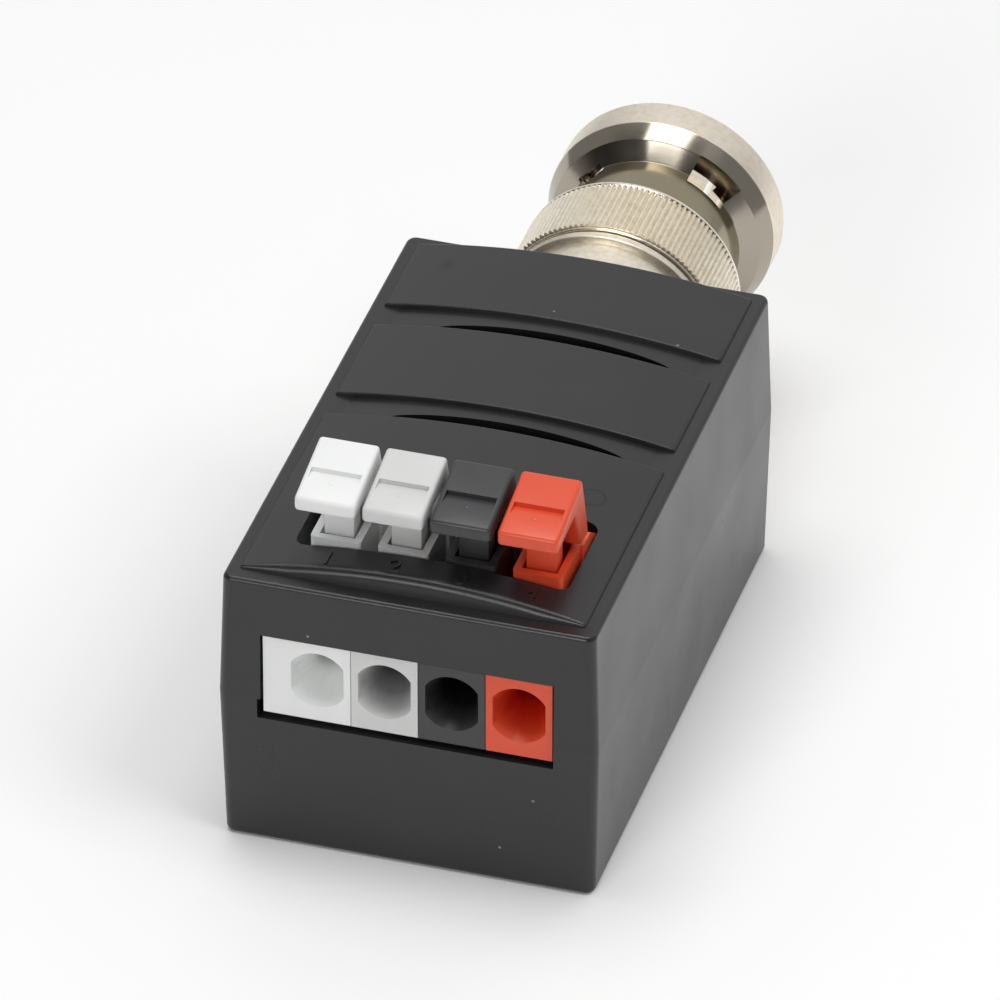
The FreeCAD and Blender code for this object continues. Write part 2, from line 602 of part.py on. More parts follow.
def strip_outline(points, thickness, x0, x1):
    """A bent strip of even thickness: both sides of its middle line, mitred at the bends."""
    left, right = [], []
    for i, (y, z) in enumerate(points):
        before = points[max(i - 1, 0)]
        after = points[min(i + 1, len(points) - 1)]
        a = unit(before, (y, z)) if i else unit((y, z), after)
        b = unit((y, z), after) if i < len(points) - 1 else a
        my, mz = -(a[1] + b[1]), a[0] + b[0]
        size = math.hypot(my, mz)
        my, mz = my / size, mz / size
        reach = thickness / 2 / (my * -a[1] + mz * a[0])
        left.append((y + my * reach, z + mz * reach))
        right.append((y - my * reach, z - mz * reach))
    return prism_across(left + right[::-1], x0, x1)


def unit(p, q):
    dy, dz = q[0] - p[0], q[1] - p[1]
    size = math.hypot(dy, dz)
    return dy / size, dz / size


def make_contact(index):
    """Tinned strip: blade under the wire, upright at the rear and a solder pin."""
    x = module_centre(index)
    half = STRIP_HALF_WIDTH
    low = BLADE_TOP - CONTACT_THICKNESS
    blade = box(x - half, x + half, CAVITY_FRONT + STRIP_SIDE_GAP, UPRIGHT_REAR, low, BLADE_TOP)
    upright = box(x - half, x + half, UPRIGHT_FRONT, UPRIGHT_REAR, low,
                  BLADE_TOP + CONTACT_UPRIGHT_HEIGHT)
    pin = box(x - PIN_WIDTH / 2, x + PIN_WIDTH / 2, UPRIGHT_FRONT, UPRIGHT_REAR,
              BOARD_UNDERSIDE - PIN_TAIL, low + CONTACT_THICKNESS / 2)
    return fused([blade, upright, pin])


def radial_bar(radius, y, low, high):
    """A round bar that stands on the plug's axis, from a low to a high radius."""
    return Part.makeCylinder(radius, high - low, vec(0, PLUG_BASE + y, AXIS_HEIGHT + low), vec(0, 0, 1))


def helical_slot(low):
    """The turning part of a bayonet track: a square section swept along a helix."""
    pitch = TRACK_ADVANCE * 360 / TRACK_TURN
    middle = (low + TRACK_RADIUS) / 2
    helix = Part.makeHelix(pitch, TRACK_ADVANCE, middle)
    half = TRACK_WIDTH / 2
    corners = [vec(r, 0, z) for r, z in
               ((low, -half), (TRACK_RADIUS, -half), (TRACK_RADIUS, half), (low, half))]
    section = Part.makePolygon(corners + corners[:1])
    slot = Part.Wire(helix.Edges).makePipeShell([section], True, True)
    # The helix is made about z from +x; lay it along -y with its start straight up.
    slot.rotate(vec(0, 0, 0), vec(1, 0, 0), 90)
    slot.rotate(vec(0, 0, 0), vec(0, 1, 0), -90)
    slot.translate(vec(0, PLUG_BASE + TRACK_START, AXIS_HEIGHT))
    return slot


def track_cutter():
    """One bayonet track: a straight entry, a helical turn and a round detent pocket."""
    low = NUT_BORE_RADIUS - TRACK_BORE_OVERLAP
    half = TRACK_WIDTH / 2
    corner = radial_bar(half, TRACK_START, low, TRACK_RADIUS)
    detent = radial_bar(half, TRACK_START - TRACK_ADVANCE, low, TRACK_RADIUS)
    entry = box(-half, half, PLUG_BASE + TRACK_START, PLUG_BASE + FLANGE_END + 1,
                AXIS_HEIGHT + low, AXIS_HEIGHT + TRACK_RADIUS)
    pieces = [place_on_axis(piece, TRACK_ENTRY_ANGLE) for piece in (corner, entry, helical_slot(low))]
    return pieces + [place_on_axis(detent, TRACK_ENTRY_ANGLE + TRACK_TURN)]


def lug_window():
    """The window over the track's entry; at its detent the track opens through the thin waist."""
    half = LUG_WINDOW_WIDTH / 2
    low = NUT_BORE_RADIUS - TRACK_BORE_OVERLAP
    entry = box(-half, half, PLUG_BASE + LUG_WINDOW_START, PLUG_BASE + LUG_WINDOW_END,
                AXIS_HEIGHT + low, AXIS_HEIGHT + FLANGE_RADIUS)
    return place_on_axis(entry, TRACK_ENTRY_ANGLE)


def knurled_band():
    """The band of straight teeth for the fingers, as one star-shaped ring."""
    inner = (NUT_BORE_RADIUS + WAIST_RADIUS) / 2
    start = PLUG_BASE + KNURL_START + KNURL_START_BAND
    length = KNURL_END - KNURL_END_BAND - KNURL_START - KNURL_START_BAND
    points = []
    for i in range(2 * KNURL_TEETH):
        radius = KNURL_RADIUS - (KNURL_DEPTH if i % 2 else 0)
        a = math.pi * i / KNURL_TEETH
        points.append(vec(radius * math.cos(a), start, AXIS_HEIGHT + radius * math.sin(a)))
    star = Part.Face(Part.makePolygon(points + points[:1])).extrude(vec(0, length, 0))
    return star.cut(tube_along(inner, start - 1, start + length + 1))


def make_coupling_nut():
    bevel = NUT_BEVEL
    lip = NECK_RADIUS + RUNNING_CLEARANCE
    root = KNURL_RADIUS - KNURL_DEPTH
    band_start = KNURL_START + KNURL_START_BAND
    band_end = KNURL_END - KNURL_END_BAND
    blank = turned([(lip, KNURL_START), (KNURL_RADIUS - bevel, KNURL_START), (root, band_start),
                    (root, band_end), (KNURL_RADIUS, band_end), (KNURL_RADIUS - 2 * bevel, KNURL_END),
                    (WAIST_RADIUS, KNURL_END),
                    (WAIST_RADIUS, FLARE_START), (FLARE_MIDDLE_RADIUS, FLARE_MIDDLE),
                    (FLANGE_RADIUS, FLANGE_START), (FLANGE_RADIUS, FLANGE_END - bevel),
                    (FLANGE_RADIUS - bevel, FLANGE_END), (NUT_BORE_RADIUS + 2 * bevel, FLANGE_END),
                    (NUT_BORE_RADIUS, FLANGE_END - 2 * bevel), (NUT_BORE_RADIUS, NUT_LIP_END),
                    (lip, NUT_LIP_END)])
    for cutter in track_cutter() + [lug_window()]:
        opposite = cutter.copy()
        opposite.rotate(vec(0, 0, AXIS_HEIGHT), vec(0, 1, 0), 180)
        blank = blank.cut(cutter).cut(opposite)
    return blank.fuse(knurled_band())


def make_plug_body():
    """Turned body: flange with a flat inside the box, neck through its wall, shoulder in the nut."""
    inside = INNER_FLANGE_FRONT
    bore = BODY_BORE_RADIUS
    front = PLUG_FLANGE_END
    body = turned([(bore, INNER_FLANGE_BACK), (INNER_FLANGE_RADIUS, INNER_FLANGE_BACK),
                   (INNER_FLANGE_RADIUS, inside), (WALL_NECK_RADIUS, inside),
                   (WALL_NECK_RADIUS, SHELL_SEAT_GAP), (NECK_RADIUS, SHELL_SEAT_GAP),
                   (NECK_RADIUS, PLUG_FLANGE_START), (PLUG_FLANGE_RADIUS, PLUG_FLANGE_START),
                   (PLUG_FLANGE_RADIUS, front), (bore, front)])
    reach = 2 * INNER_FLANGE_RADIUS
    flat = box(-reach, reach, PLUG_BASE + 2 * INNER_FLANGE_BACK, PLUG_BASE + inside,
               RIM_HEIGHT - ROOF - INNER_FLANGE_ROOF_GAP, RIM_HEIGHT + reach)
    posts = []
    for side in (-1, 1):
        y1 = PLUG_BASE + (inside + INNER_FLANGE_BACK) / 2
        posts.append(tube_along(GROUND_POST_RADIUS, y1 - GROUND_POST_LENGTH, y1,
                                side * GROUND_POST_SPACING / 2, BOARD_TOP + GROUND_POST_RADIUS))
    return fused([body.cut(flat)] + posts)


def make_plug_collar():
    """Collar that is pressed on against the box: a plain ring and a wider thin edge."""
    ring_start = COLLAR_END - COLLAR_RING_THICKNESS
    bevel = COLLAR_BEVEL
    return turned([(NECK_RADIUS, SHELL_SEAT_GAP), (COLLAR_RADIUS, SHELL_SEAT_GAP),
                   (COLLAR_RADIUS, ring_start), (COLLAR_RING_RADIUS - bevel, ring_start),
                   (COLLAR_RING_RADIUS, ring_start + bevel), (COLLAR_RING_RADIUS, COLLAR_END - bevel),
                   (COLLAR_RING_RADIUS - bevel, COLLAR_END), (NECK_RADIUS, COLLAR_END)])


def make_contact_sleeve():
    """Slit outer contact that grips the inside of the mating socket."""
    inner = SLEEVE_RADIUS - SLEEVE_WALL
    lead = SLEEVE_WALL / 2
    sleeve = turned([(inner, PLUG_FLANGE_END), (SLEEVE_RADIUS, PLUG_FLANGE_END),
                     (SLEEVE_RADIUS, SLEEVE_END - lead), (SLEEVE_RADIUS - lead, SLEEVE_END),
                     (inner, SLEEVE_END)])
    reach = 2 * SLEEVE_RADIUS
    half = SLEEVE_SLIT_WIDTH / 2
    slit = box(-half, half, PLUG_BASE + SLEEVE_SLIT_START, PLUG_BASE + SLEEVE_END + 1,
               AXIS_HEIGHT - reach, AXIS_HEIGHT + reach)
    return sleeve.cut([place_on_axis(slit, angle) for angle in SLEEVE_SLIT_ANGLES])


def make_insulator():
    gap = RUNNING_CLEARANCE
    start = INNER_FLANGE_BACK
    sleeve_bore = SLEEVE_RADIUS - SLEEVE_WALL
    return turned([(CENTRE_PIN_RADIUS, start), (BODY_BORE_RADIUS - gap, start),
                   (BODY_BORE_RADIUS - gap, PLUG_FLANGE_END), (sleeve_bore - gap, PLUG_FLANGE_END),
                   (sleeve_bore - gap, INSULATOR_END), (CENTRE_PIN_RADIUS, INSULATOR_END)])


def make_centre_pin():
    """Pin with a tapered tip, and a thinner tail that bends down to the board."""
    tip = 2 * CENTRE_PIN_RADIUS
    start = INNER_FLANGE_BACK
    pin = turned([(0, start), (CENTRE_PIN_RADIUS, start), (CENTRE_PIN_RADIUS, CENTRE_PIN_END - tip),
                  (CENTRE_PIN_RADIUS / 3, CENTRE_PIN_END), (0, CENTRE_PIN_END)])
    bend = 2 * CENTRE_TAIL_RADIUS
    end = PLUG_BASE + start + bend
    turn = PLUG_BASE + start - CENTRE_TAIL_LENGTH + bend
    straight = tube_along(CENTRE_TAIL_RADIUS, turn, end)
    section = Part.Face(Part.Wire([Part.makeCircle(CENTRE_TAIL_RADIUS, vec(0, turn, AXIS_HEIGHT),
                                                   vec(0, 1, 0))]))
    elbow = section.revolve(vec(0, turn, AXIS_HEIGHT - bend), vec(1, 0, 0), 90)
    drop = Part.makeCylinder(CENTRE_TAIL_RADIUS, AXIS_HEIGHT - bend - BOARD_TOP,
                             vec(0, turn - bend, BOARD_TOP))
    return fused([pin, straight, elbow, drop])


def make_gasket():
    """Soft ring that seals the mating socket against the plug's shoulder."""
    return ring(PLUG_FLANGE_RADIUS - RUNNING_CLEARANCE, SLEEVE_RADIUS, PLUG_FLANGE_END,
                PLUG_FLANGE_END + GASKET_THICKNESS)


def make_thrust_washer():
    return ring(WASHER_OUTER_RADIUS, WASHER_INNER_RADIUS, THRUST_START, WAVE_START)


def make_wave_washer():
    """A thin ring with even waves between the thrust washer and the plug's shoulder."""
    amplitude = (WAVE_WASHER_HEIGHT - WAVE_WASHER_THICKNESS) / 2
    middle = PLUG_BASE + WAVE_START + WAVE_WASHER_HEIGHT / 2

    def edge(radius, shift):
        points = []
        count = 12 * WAVE_COUNT
        for i in range(count):
            a = 2 * math.pi * i / count
            y = middle + shift + amplitude * math.cos(WAVE_COUNT * a)
            points.append(vec(radius * math.cos(a), y, AXIS_HEIGHT + radius * math.sin(a)))
        curve = Part.BSplineCurve()
        curve.interpolate(Points=points, PeriodicFlag=True)
        return curve.toShape()

    half = WAVE_WASHER_THICKNESS / 2
    inner_low, outer_low = edge(WASHER_INNER_RADIUS, -half), edge(WASHER_OUTER_RADIUS, -half)
    inner_high, outer_high = edge(WASHER_INNER_RADIUS, half), edge(WASHER_OUTER_RADIUS, half)
    pairs = [(inner_low, outer_low), (outer_low, outer_high), (outer_high, inner_high),
             (inner_high, inner_low)]
    shell = Part.Shell([Part.makeRuledSurface(a, b) for a, b in pairs])
    solid = Part.Solid(shell)
    return solid if solid.Volume > 0 else Part.Solid(shell.reversed())


def chamfered(half, low, high, cut):
    """Corners of an upright rectangle of (distance, height) points with its corners cut off."""
    near, far = half
    return [(near + cut, low), (far - cut, low), (far, low + cut), (far, high - cut),
            (far - cut, high), (near + cut, high), (near, high - cut), (near, low + cut)]


def make_transformer_core():
    outline = chamfered((CORE_HOLE_RADIUS, CORE_RADIUS), CORE_UNDERSIDE,
                        CORE_UNDERSIDE + CORE_HEIGHT, CORE_CHAMFER)
    corners = [vec(r, CORE_POSITION, z) for r, z in outline]
    face = Part.Face(Part.makePolygon(corners + corners[:1]))
    return face.revolve(vec(0, CORE_POSITION, 0), vec(0, 0, 1), 360)


def make_winding():
    """Turns of enamelled wire round the core, each a closed loop that follows its outline."""
    loops = []
    for gap in (WIRE_REACH, WIRE_GAP):
        outline = chamfered((CORE_HOLE_RADIUS - gap, CORE_RADIUS + gap), CORE_UNDERSIDE - gap,
                            CORE_UNDERSIDE + CORE_HEIGHT + gap, CORE_CHAMFER + gap)
        corners = [vec(r, -WIRE_RADIUS, z) for r, z in outline]
        loops.append(Part.makePolygon(corners + corners[:1]))
    loop = Part.Face(loops[0]).cut(Part.Face(loops[1])).Faces[0].extrude(vec(0, 2 * WIRE_RADIUS, 0))
    turns = []
    for i in range(WINDING_TURNS):
        turn = loop.copy()
        turn.rotate(vec(0, 0, 0), vec(0, 0, 1), 360 * (i + 0.5) / WINDING_TURNS)
        turn.translate(vec(0, CORE_POSITION, 0))
        turns.append(turn)
    return Part.makeCompound(turns)


def make_board_part(size, x, y):
    """A surface-mounted part: a plain moulded body with rounded upright edges."""
    width, length, height = size
    body = box(x - width / 2, x + width / 2, y - length / 2, y + length / 2,
               BOARD_TOP, BOARD_TOP + height)
    upright = [e for e in body.Edges if abs(e.Vertexes[0].Z - e.Vertexes[1].Z) > height / 2]
    return body.makeFillet(BOARD_PART_ROUNDING, upright)


def all_pieces():
    pieces = {"top_shell": make_top_shell(), "bottom_shell": make_bottom_shell(),
              "circuit_board": make_circuit_board()}
    for i, colour in enumerate(COLOURS):
        pieces["terminal_body_" + colour] = make_terminal_body(i)
        pieces["lever_" + colour] = make_lever(i)
        pieces["contact_" + colour] = make_contact(i)
        pieces["clamp_spring_" + colour] = make_clamp_spring(i)
    pieces["plug_body"] = make_plug_body()
    pieces["plug_collar"] = make_plug_collar()
    pieces["contact_sleeve"] = make_contact_sleeve()
    pieces["insulator"] = make_insulator()
    pieces["centre_pin"] = make_centre_pin()
    pieces["gasket"] = make_gasket()
    pieces["thrust_washer"] = make_thrust_washer()
    pieces["wave_washer"] = make_wave_washer()
    pieces["coupling_nut"] = make_coupling_nut()
    pieces["transformer_core"] = make_transformer_core()
    pieces["transformer_winding"] = make_winding()
    for i, side in enumerate((-1, 1)):
        pieces["surge_suppressor_%d" % (i + 1)] = make_board_part(
            SUPPRESSOR_SIZE, side * SUPPRESSOR_OFFSET, SUPPRESSOR_POSITION)
    pieces["chip_resistor"] = make_board_part(CHIP_SIZE, -CHIP_SPACING / 2, CHIP_POSITION)
    pieces["chip_capacitor"] = make_board_part(CHIP_SIZE, CHIP_SPACING / 2, CHIP_POSITION)
    return pieces


def main():
    os.makedirs("parts", exist_ok=True)
    for name, shape in all_pieces().items():
        centred = shape.translated(vec(0, -BOX_LENGTH / 2, 0))
        centred.exportStep("parts/" + name + ".step")
        if not centred.isValid():
            print("not valid:", name)
        print("%-24s %2d solid(s) %9.2f mm3" % (name, len(centred.Solids), centred.Volume))


main()
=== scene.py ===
"""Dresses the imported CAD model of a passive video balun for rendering.

The box and the terminal bodies keep their CAD form with rounded edges, the levers are drawn again,
and the bayonet plug is turned again in finer steps. All lengths in the classes are millimetres in
the CAD model's own frame.
"""

import json
import logging
import math
from dataclasses import dataclass, field
from enum import Enum
from typing import Callable, Sequence

import bmesh
import bpy
from mathutils import Matrix, Vector

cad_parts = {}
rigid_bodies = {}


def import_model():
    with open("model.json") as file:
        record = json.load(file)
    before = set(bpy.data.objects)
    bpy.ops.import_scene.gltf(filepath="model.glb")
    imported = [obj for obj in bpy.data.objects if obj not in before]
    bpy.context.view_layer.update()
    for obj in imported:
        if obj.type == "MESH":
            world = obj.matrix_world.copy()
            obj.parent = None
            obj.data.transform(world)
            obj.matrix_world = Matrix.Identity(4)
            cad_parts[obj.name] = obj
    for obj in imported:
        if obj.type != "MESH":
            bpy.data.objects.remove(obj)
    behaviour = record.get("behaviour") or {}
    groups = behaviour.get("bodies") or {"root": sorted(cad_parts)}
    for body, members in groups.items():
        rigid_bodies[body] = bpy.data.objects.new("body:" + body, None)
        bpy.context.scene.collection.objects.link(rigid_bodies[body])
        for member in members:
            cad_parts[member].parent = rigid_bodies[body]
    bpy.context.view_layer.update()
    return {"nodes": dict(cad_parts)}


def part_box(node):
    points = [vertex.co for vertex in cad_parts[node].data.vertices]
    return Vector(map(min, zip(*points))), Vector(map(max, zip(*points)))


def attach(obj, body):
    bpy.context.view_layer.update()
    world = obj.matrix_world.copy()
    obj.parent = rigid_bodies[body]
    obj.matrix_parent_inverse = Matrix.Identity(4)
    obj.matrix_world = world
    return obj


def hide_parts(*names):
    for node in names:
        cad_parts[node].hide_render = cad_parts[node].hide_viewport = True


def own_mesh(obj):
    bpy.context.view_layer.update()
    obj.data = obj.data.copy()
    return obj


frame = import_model()

LOG = logging.getLogger("video_balun")
MM = 0.001
MERGE_DISTANCE = 0.0005
FLAT_ANGLE = 0.4
CLEAR = 1.0
Outline = Sequence[tuple[float, float]]
Corner = tuple[float, float, float]
Tone = tuple[float, float, float, float]


class Hue(Enum):
    """The four terminals in their order from the left."""

    WHITE = "white"
    GREY = "grey"
    BLACK = "black"
    RED = "red"

    @property
    def place(self) -> int:
        """Position in the row, from 0 at the left."""
        return list(Hue).index(self)


class Slot(Enum):
    """Material slots of the record that new pieces name."""

    CASE = "case"
    NICKEL = "nickel_plate"


class GroupMaker:
    """Builds each shared shader node group once and hands it out by name."""

    def __init__(self) -> None:
        """Start with no groups."""
        self.made: dict[str, bpy.types.NodeTree] = {}

    def get(self, name: str) -> bpy.types.NodeTree:
        """Return a group, building it on first use.

        Args:
            name: One of the group names below.

        Returns:
            The shader node tree.
        """
        if name not in self.made:
            tree = bpy.data.node_groups.new(name, "ShaderNodeTree")
            builders: dict[str, Callable[[bpy.types.NodeTree], None]] = {
                "moulded_grain": self.moulded_grain,
                "dust_specks": self.dust_specks,
                "turning_marks": self.turning_marks,
                "plating_mottle": self.plating_mottle,
                "entry_depth": self.entry_depth,
                "round_mark": self.round_mark,
                "axis_band": self.axis_band,
            }
            builders[name](tree)
            self.made[name] = tree
        return self.made[name]

    @staticmethod
    def sockets(tree: bpy.types.NodeTree, inputs: dict[str, float], outputs: Sequence[str]) -> tuple:
        """Add float inputs and outputs to a group and its end nodes.

        Args:
            tree: The group.
            inputs: Input names with default values.
            outputs: Output names.

        Returns:
            The group's input node and output node.
        """
        for name, value in inputs.items():
            socket = tree.interface.new_socket(name, in_out="INPUT", socket_type="NodeSocketFloat")
            socket.default_value = value
        for name in outputs:
            tree.interface.new_socket(name, in_out="OUTPUT", socket_type="NodeSocketFloat")
        return tree.nodes.new("NodeGroupInput"), tree.nodes.new("NodeGroupOutput")

    @staticmethod
    def noise(tree: bpy.types.NodeTree, scale: bpy.types.NodeSocket | float, detail: float,
              stretch: Vector | None = None) -> bpy.types.NodeSocket:
        """Add a noise texture on Object coordinates.

        Args:
            tree: The tree to add to.
            scale: A socket or number for the noise scale.
            detail: Noise detail.
            stretch: Optional scale of the coordinates along each axis.

        Returns:
            The noise value socket, from 0 to 1.
        """
        where = tree.nodes.new("ShaderNodeTexCoord").outputs["Object"]
        if stretch is not None:
            mapping = tree.nodes.new("ShaderNodeMapping")
            mapping.inputs["Scale"].default_value = stretch
            tree.links.new(where, mapping.inputs["Vector"])
            where = mapping.outputs["Vector"]
        node = tree.nodes.new("ShaderNodeTexNoise")
        node.inputs["Detail"].default_value = detail
        tree.links.new(where, node.inputs["Vector"])
        if isinstance(scale, (int, float)):
            node.inputs["Scale"].default_value = scale
        else:
            tree.links.new(scale, node.inputs["Scale"])
        return node.outputs["Fac"]

    @staticmethod
    def ranged(tree: bpy.types.NodeTree, value: bpy.types.NodeSocket, low: float, high: float,
               to_low: bpy.types.NodeSocket | float, to_high: bpy.types.NodeSocket | float
               ) -> bpy.types.NodeSocket:
        """Map a value from one range to another, clamped.

        Args:
            tree: The tree to add to.
            value: The value to map.
            low: Value that maps to to_low.
            high: Value that maps to to_high.
            to_low: Number or socket.
            to_high: Number or socket.

        Returns:
            The mapped value.
        """
        node = tree.nodes.new("ShaderNodeMapRange")
        tree.links.new(value, node.inputs["Value"])
        node.inputs["From Min"].default_value = low
        node.inputs["From Max"].default_value = high
        for name, to in (("To Min", to_low), ("To Max", to_high)):
            if isinstance(to, (int, float)):
                node.inputs[name].default_value = to
            else:
                tree.links.new(to, node.inputs[name])
        return node.outputs["Result"]

    @staticmethod
    def worked(tree: bpy.types.NodeTree, operation: str, first: bpy.types.NodeSocket,
               second: bpy.types.NodeSocket | float = 0.0) -> bpy.types.NodeSocket:
        """Add a Math node.

        Args:
            tree: The tree to add to.
            operation: The Math node's operation.
            first: The first value.
            second: The second value, a socket or a number.

        Returns:
            The result.
        """
        node = tree.nodes.new("ShaderNodeMath")
        node.operation = operation
        tree.links.new(first, node.inputs[0])
        if isinstance(second, (int, float)):
            node.inputs[1].default_value = second
        else:
            tree.links.new(second, node.inputs[1])
        return node.outputs["Value"]

    def moulded_grain(self, tree: bpy.types.NodeTree) -> None:
        """Fine spark-eroded grain of a moulded plastic skin: height, roughness and slow mottle."""
        start, end = self.sockets(tree, {"Grain Scale": 9000.0, "Roughness Low": 0.4,
                                         "Roughness High": 0.5}, ("Height", "Roughness", "Mottle"))
        fine = self.noise(tree, start.outputs["Grain Scale"], 3.0)
        slow = self.noise(tree, 180.0, 4.0)
        tree.links.new(fine, end.inputs["Height"])
        rough = self.ranged(tree, slow, 0.3, 0.7, start.outputs["Roughness Low"],
                            start.outputs["Roughness High"])
        tree.links.new(rough, end.inputs["Roughness"])
        tree.links.new(self.ranged(tree, slow, 0.25, 0.75, 0.0, 1.0), end.inputs["Mottle"])

    def dust_specks(self, tree: bpy.types.NodeTree) -> None:
        """Sparse pale grains of dust lying on a dark skin, as a mask from 0 to 1."""
        start, end = self.sockets(tree, {"Spacing": 520.0, "Size": 0.045, "Rarity": 0.86}, ("Mask",))
        where = tree.nodes.new("ShaderNodeTexCoord").outputs["Object"]
        cells = tree.nodes.new("ShaderNodeTexVoronoi")
        tree.links.new(where, cells.inputs["Vector"])
        tree.links.new(start.outputs["Spacing"], cells.inputs["Scale"])
        near = self.worked(tree, "LESS_THAN", cells.outputs["Distance"], start.outputs["Size"])
        chosen = tree.nodes.new("ShaderNodeSeparateColor")
        tree.links.new(cells.outputs["Color"], chosen.inputs["Color"])
        rare = self.worked(tree, "GREATER_THAN", chosen.outputs["Red"], start.outputs["Rarity"])
        tree.links.new(self.worked(tree, "MULTIPLY", near, rare), end.inputs["Mask"])

    def entry_depth(self, tree: bpy.types.NodeTree) -> None:
        """How deep a point lies behind the modules' front faces, below the roof, from 0 to 1, as the
        mask for painted shade inside the wire entries.
        """
        start, end = self.sockets(tree, {"Face": -18.2 * MM, "Deep": -16.6 * MM, "Roof": 14.2 * MM},
                                  ("Depth",))
        where = tree.nodes.new("ShaderNodeTexCoord").outputs["Object"]
        parts = tree.nodes.new("ShaderNodeSeparateXYZ")
        tree.links.new(where, parts.inputs[0])
        into = tree.nodes.new("ShaderNodeMapRange")
        tree.links.new(parts.outputs["Y"], into.inputs["Value"])
        tree.links.new(start.outputs["Face"], into.inputs["From Min"])
        tree.links.new(start.outputs["Deep"], into.inputs["From Max"])
        below = self.worked(tree, "LESS_THAN", parts.outputs["Z"], start.outputs["Roof"])
        tree.links.new(self.worked(tree, "MULTIPLY", into.outputs["Result"], below),
                       end.inputs["Depth"])

    def round_mark(self, tree: bpy.types.NodeTree) -> None:
        """A soft spot where a gate marks a moulding (radius 0), and otherwise a ring of painted shade
        round a shallow ejector relief, from 0 to 1.
        """
        start, end = self.sockets(tree, {"X": 0.0, "Y": 0.0, "Radius": 0.0, "Width": 0.7 * MM,
                                         "Top": 17.9 * MM}, ("Mark",))
        where = tree.nodes.new("ShaderNodeTexCoord").outputs["Object"]
        parts = tree.nodes.new("ShaderNodeSeparateXYZ")
        tree.links.new(where, parts.inputs[0])
        spot = tree.nodes.new("ShaderNodeCombineXYZ")
        flat = tree.nodes.new("ShaderNodeCombineXYZ")
        for axis in ("X", "Y"):
            tree.links.new(start.outputs[axis], spot.inputs[axis])
            tree.links.new(parts.outputs[axis], flat.inputs[axis])
        away = tree.nodes.new("ShaderNodeVectorMath")
        away.operation = "DISTANCE"
        tree.links.new(flat.outputs[0], away.inputs[0])
        tree.links.new(spot.outputs[0], away.inputs[1])
        off = self.worked(tree, "ABSOLUTE", self.worked(tree, "SUBTRACT", away.outputs["Value"],
                                                        start.outputs["Radius"]))
        near = tree.nodes.new("ShaderNodeMapRange")
        near.interpolation_type = "SMOOTHSTEP"
        near.inputs["To Min"].default_value = 1.0
        near.inputs["To Max"].default_value = 0.0
        tree.links.new(off, near.inputs["Value"])
        tree.links.new(start.outputs["Width"], near.inputs["From Max"])
        above = self.worked(tree, "GREATER_THAN", parts.outputs["Z"], start.outputs["Top"])
        tree.links.new(self.worked(tree, "MULTIPLY", near.outputs["Result"], above), end.inputs["Mark"])

    def axis_band(self, tree: bpy.types.NodeTree) -> None:
        """A band round the plug's axis: how far along and how far out a point lies, as a mask."""
        start, end = self.sockets(tree, {"Near": 0.0, "Far": 1.0, "Inner": 0.0, "Outer": 1.0,
                                         "Axis Height": 11.2 * MM}, ("Mask",))
        where = tree.nodes.new("ShaderNodeTexCoord").outputs["Object"]
        parts = tree.nodes.new("ShaderNodeSeparateXYZ")
        tree.links.new(where, parts.inputs[0])
        up = self.worked(tree, "SUBTRACT", parts.outputs["Z"], start.outputs["Axis Height"])
        square = self.worked(tree, "ADD", self.worked(tree, "MULTIPLY", up, up),
                             self.worked(tree, "MULTIPLY", parts.outputs["X"], parts.outputs["X"]))
        out = self.worked(tree, "POWER", square, 0.5)
        mask = self.worked(tree, "MULTIPLY",
                           self.worked(tree, "GREATER_THAN", parts.outputs["Y"], start.outputs["Near"]),
                           self.worked(tree, "LESS_THAN", parts.outputs["Y"], start.outputs["Far"]))
        ring = self.worked(tree, "MULTIPLY",
                           self.worked(tree, "GREATER_THAN", out, start.outputs["Inner"]),
                           self.worked(tree, "LESS_THAN", out, start.outputs["Outer"]))
        tree.links.new(self.worked(tree, "MULTIPLY", mask, ring), end.inputs["Mask"])

    def turning_marks(self, tree: bpy.types.NodeTree) -> None:
        """Fine rings that a lathe leaves round the plug's axis, which runs along Y."""
        start, end = self.sockets(tree, {"Ring Scale": 2600.0}, ("Height",))
        rings = self.noise(tree, start.outputs["Ring Scale"], 2.0, Vector((0.012, 1.0, 0.012)))
        tree.links.new(rings, end.inputs["Height"])

    def plating_mottle(self, tree: bpy.types.NodeTree) -> None:
        """Cloudy change in a plated surface: roughness, and a stain mask for its colour."""
        start, end = self.sockets(tree, {"Roughness Low": 0.16, "Roughness High": 0.3},
                                  ("Roughness", "Stain"))
        cloud = self.noise(tree, 420.0, 5.0)
        rough = self.ranged(tree, cloud, 0.35, 0.7, start.outputs["Roughness Low"],
                            start.outputs["Roughness High"])
        stain = self.ranged(tree, self.noise(tree, 2600.0, 4.0), 0.4, 0.7, 0.0, 1.0)
        tree.links.new(rough, end.inputs["Roughness"])
        tree.links.new(stain, end.inputs["Stain"])


GROUPS = GroupMaker()


def linear(value: float) -> float:
    """Turn one sRGB channel from 0 to 255 into a linear value."""
    part = value / 255
    return part / 12.92 if part <= 0.04045 else ((part + 0.055) / 1.055) ** 2.4


def colour(red: float, green: float, blue: float) -> Tone:
    """Return an opaque linear colour from sRGB channels from 0 to 255."""
    return (linear(red), linear(green), linear(blue), 1.0)


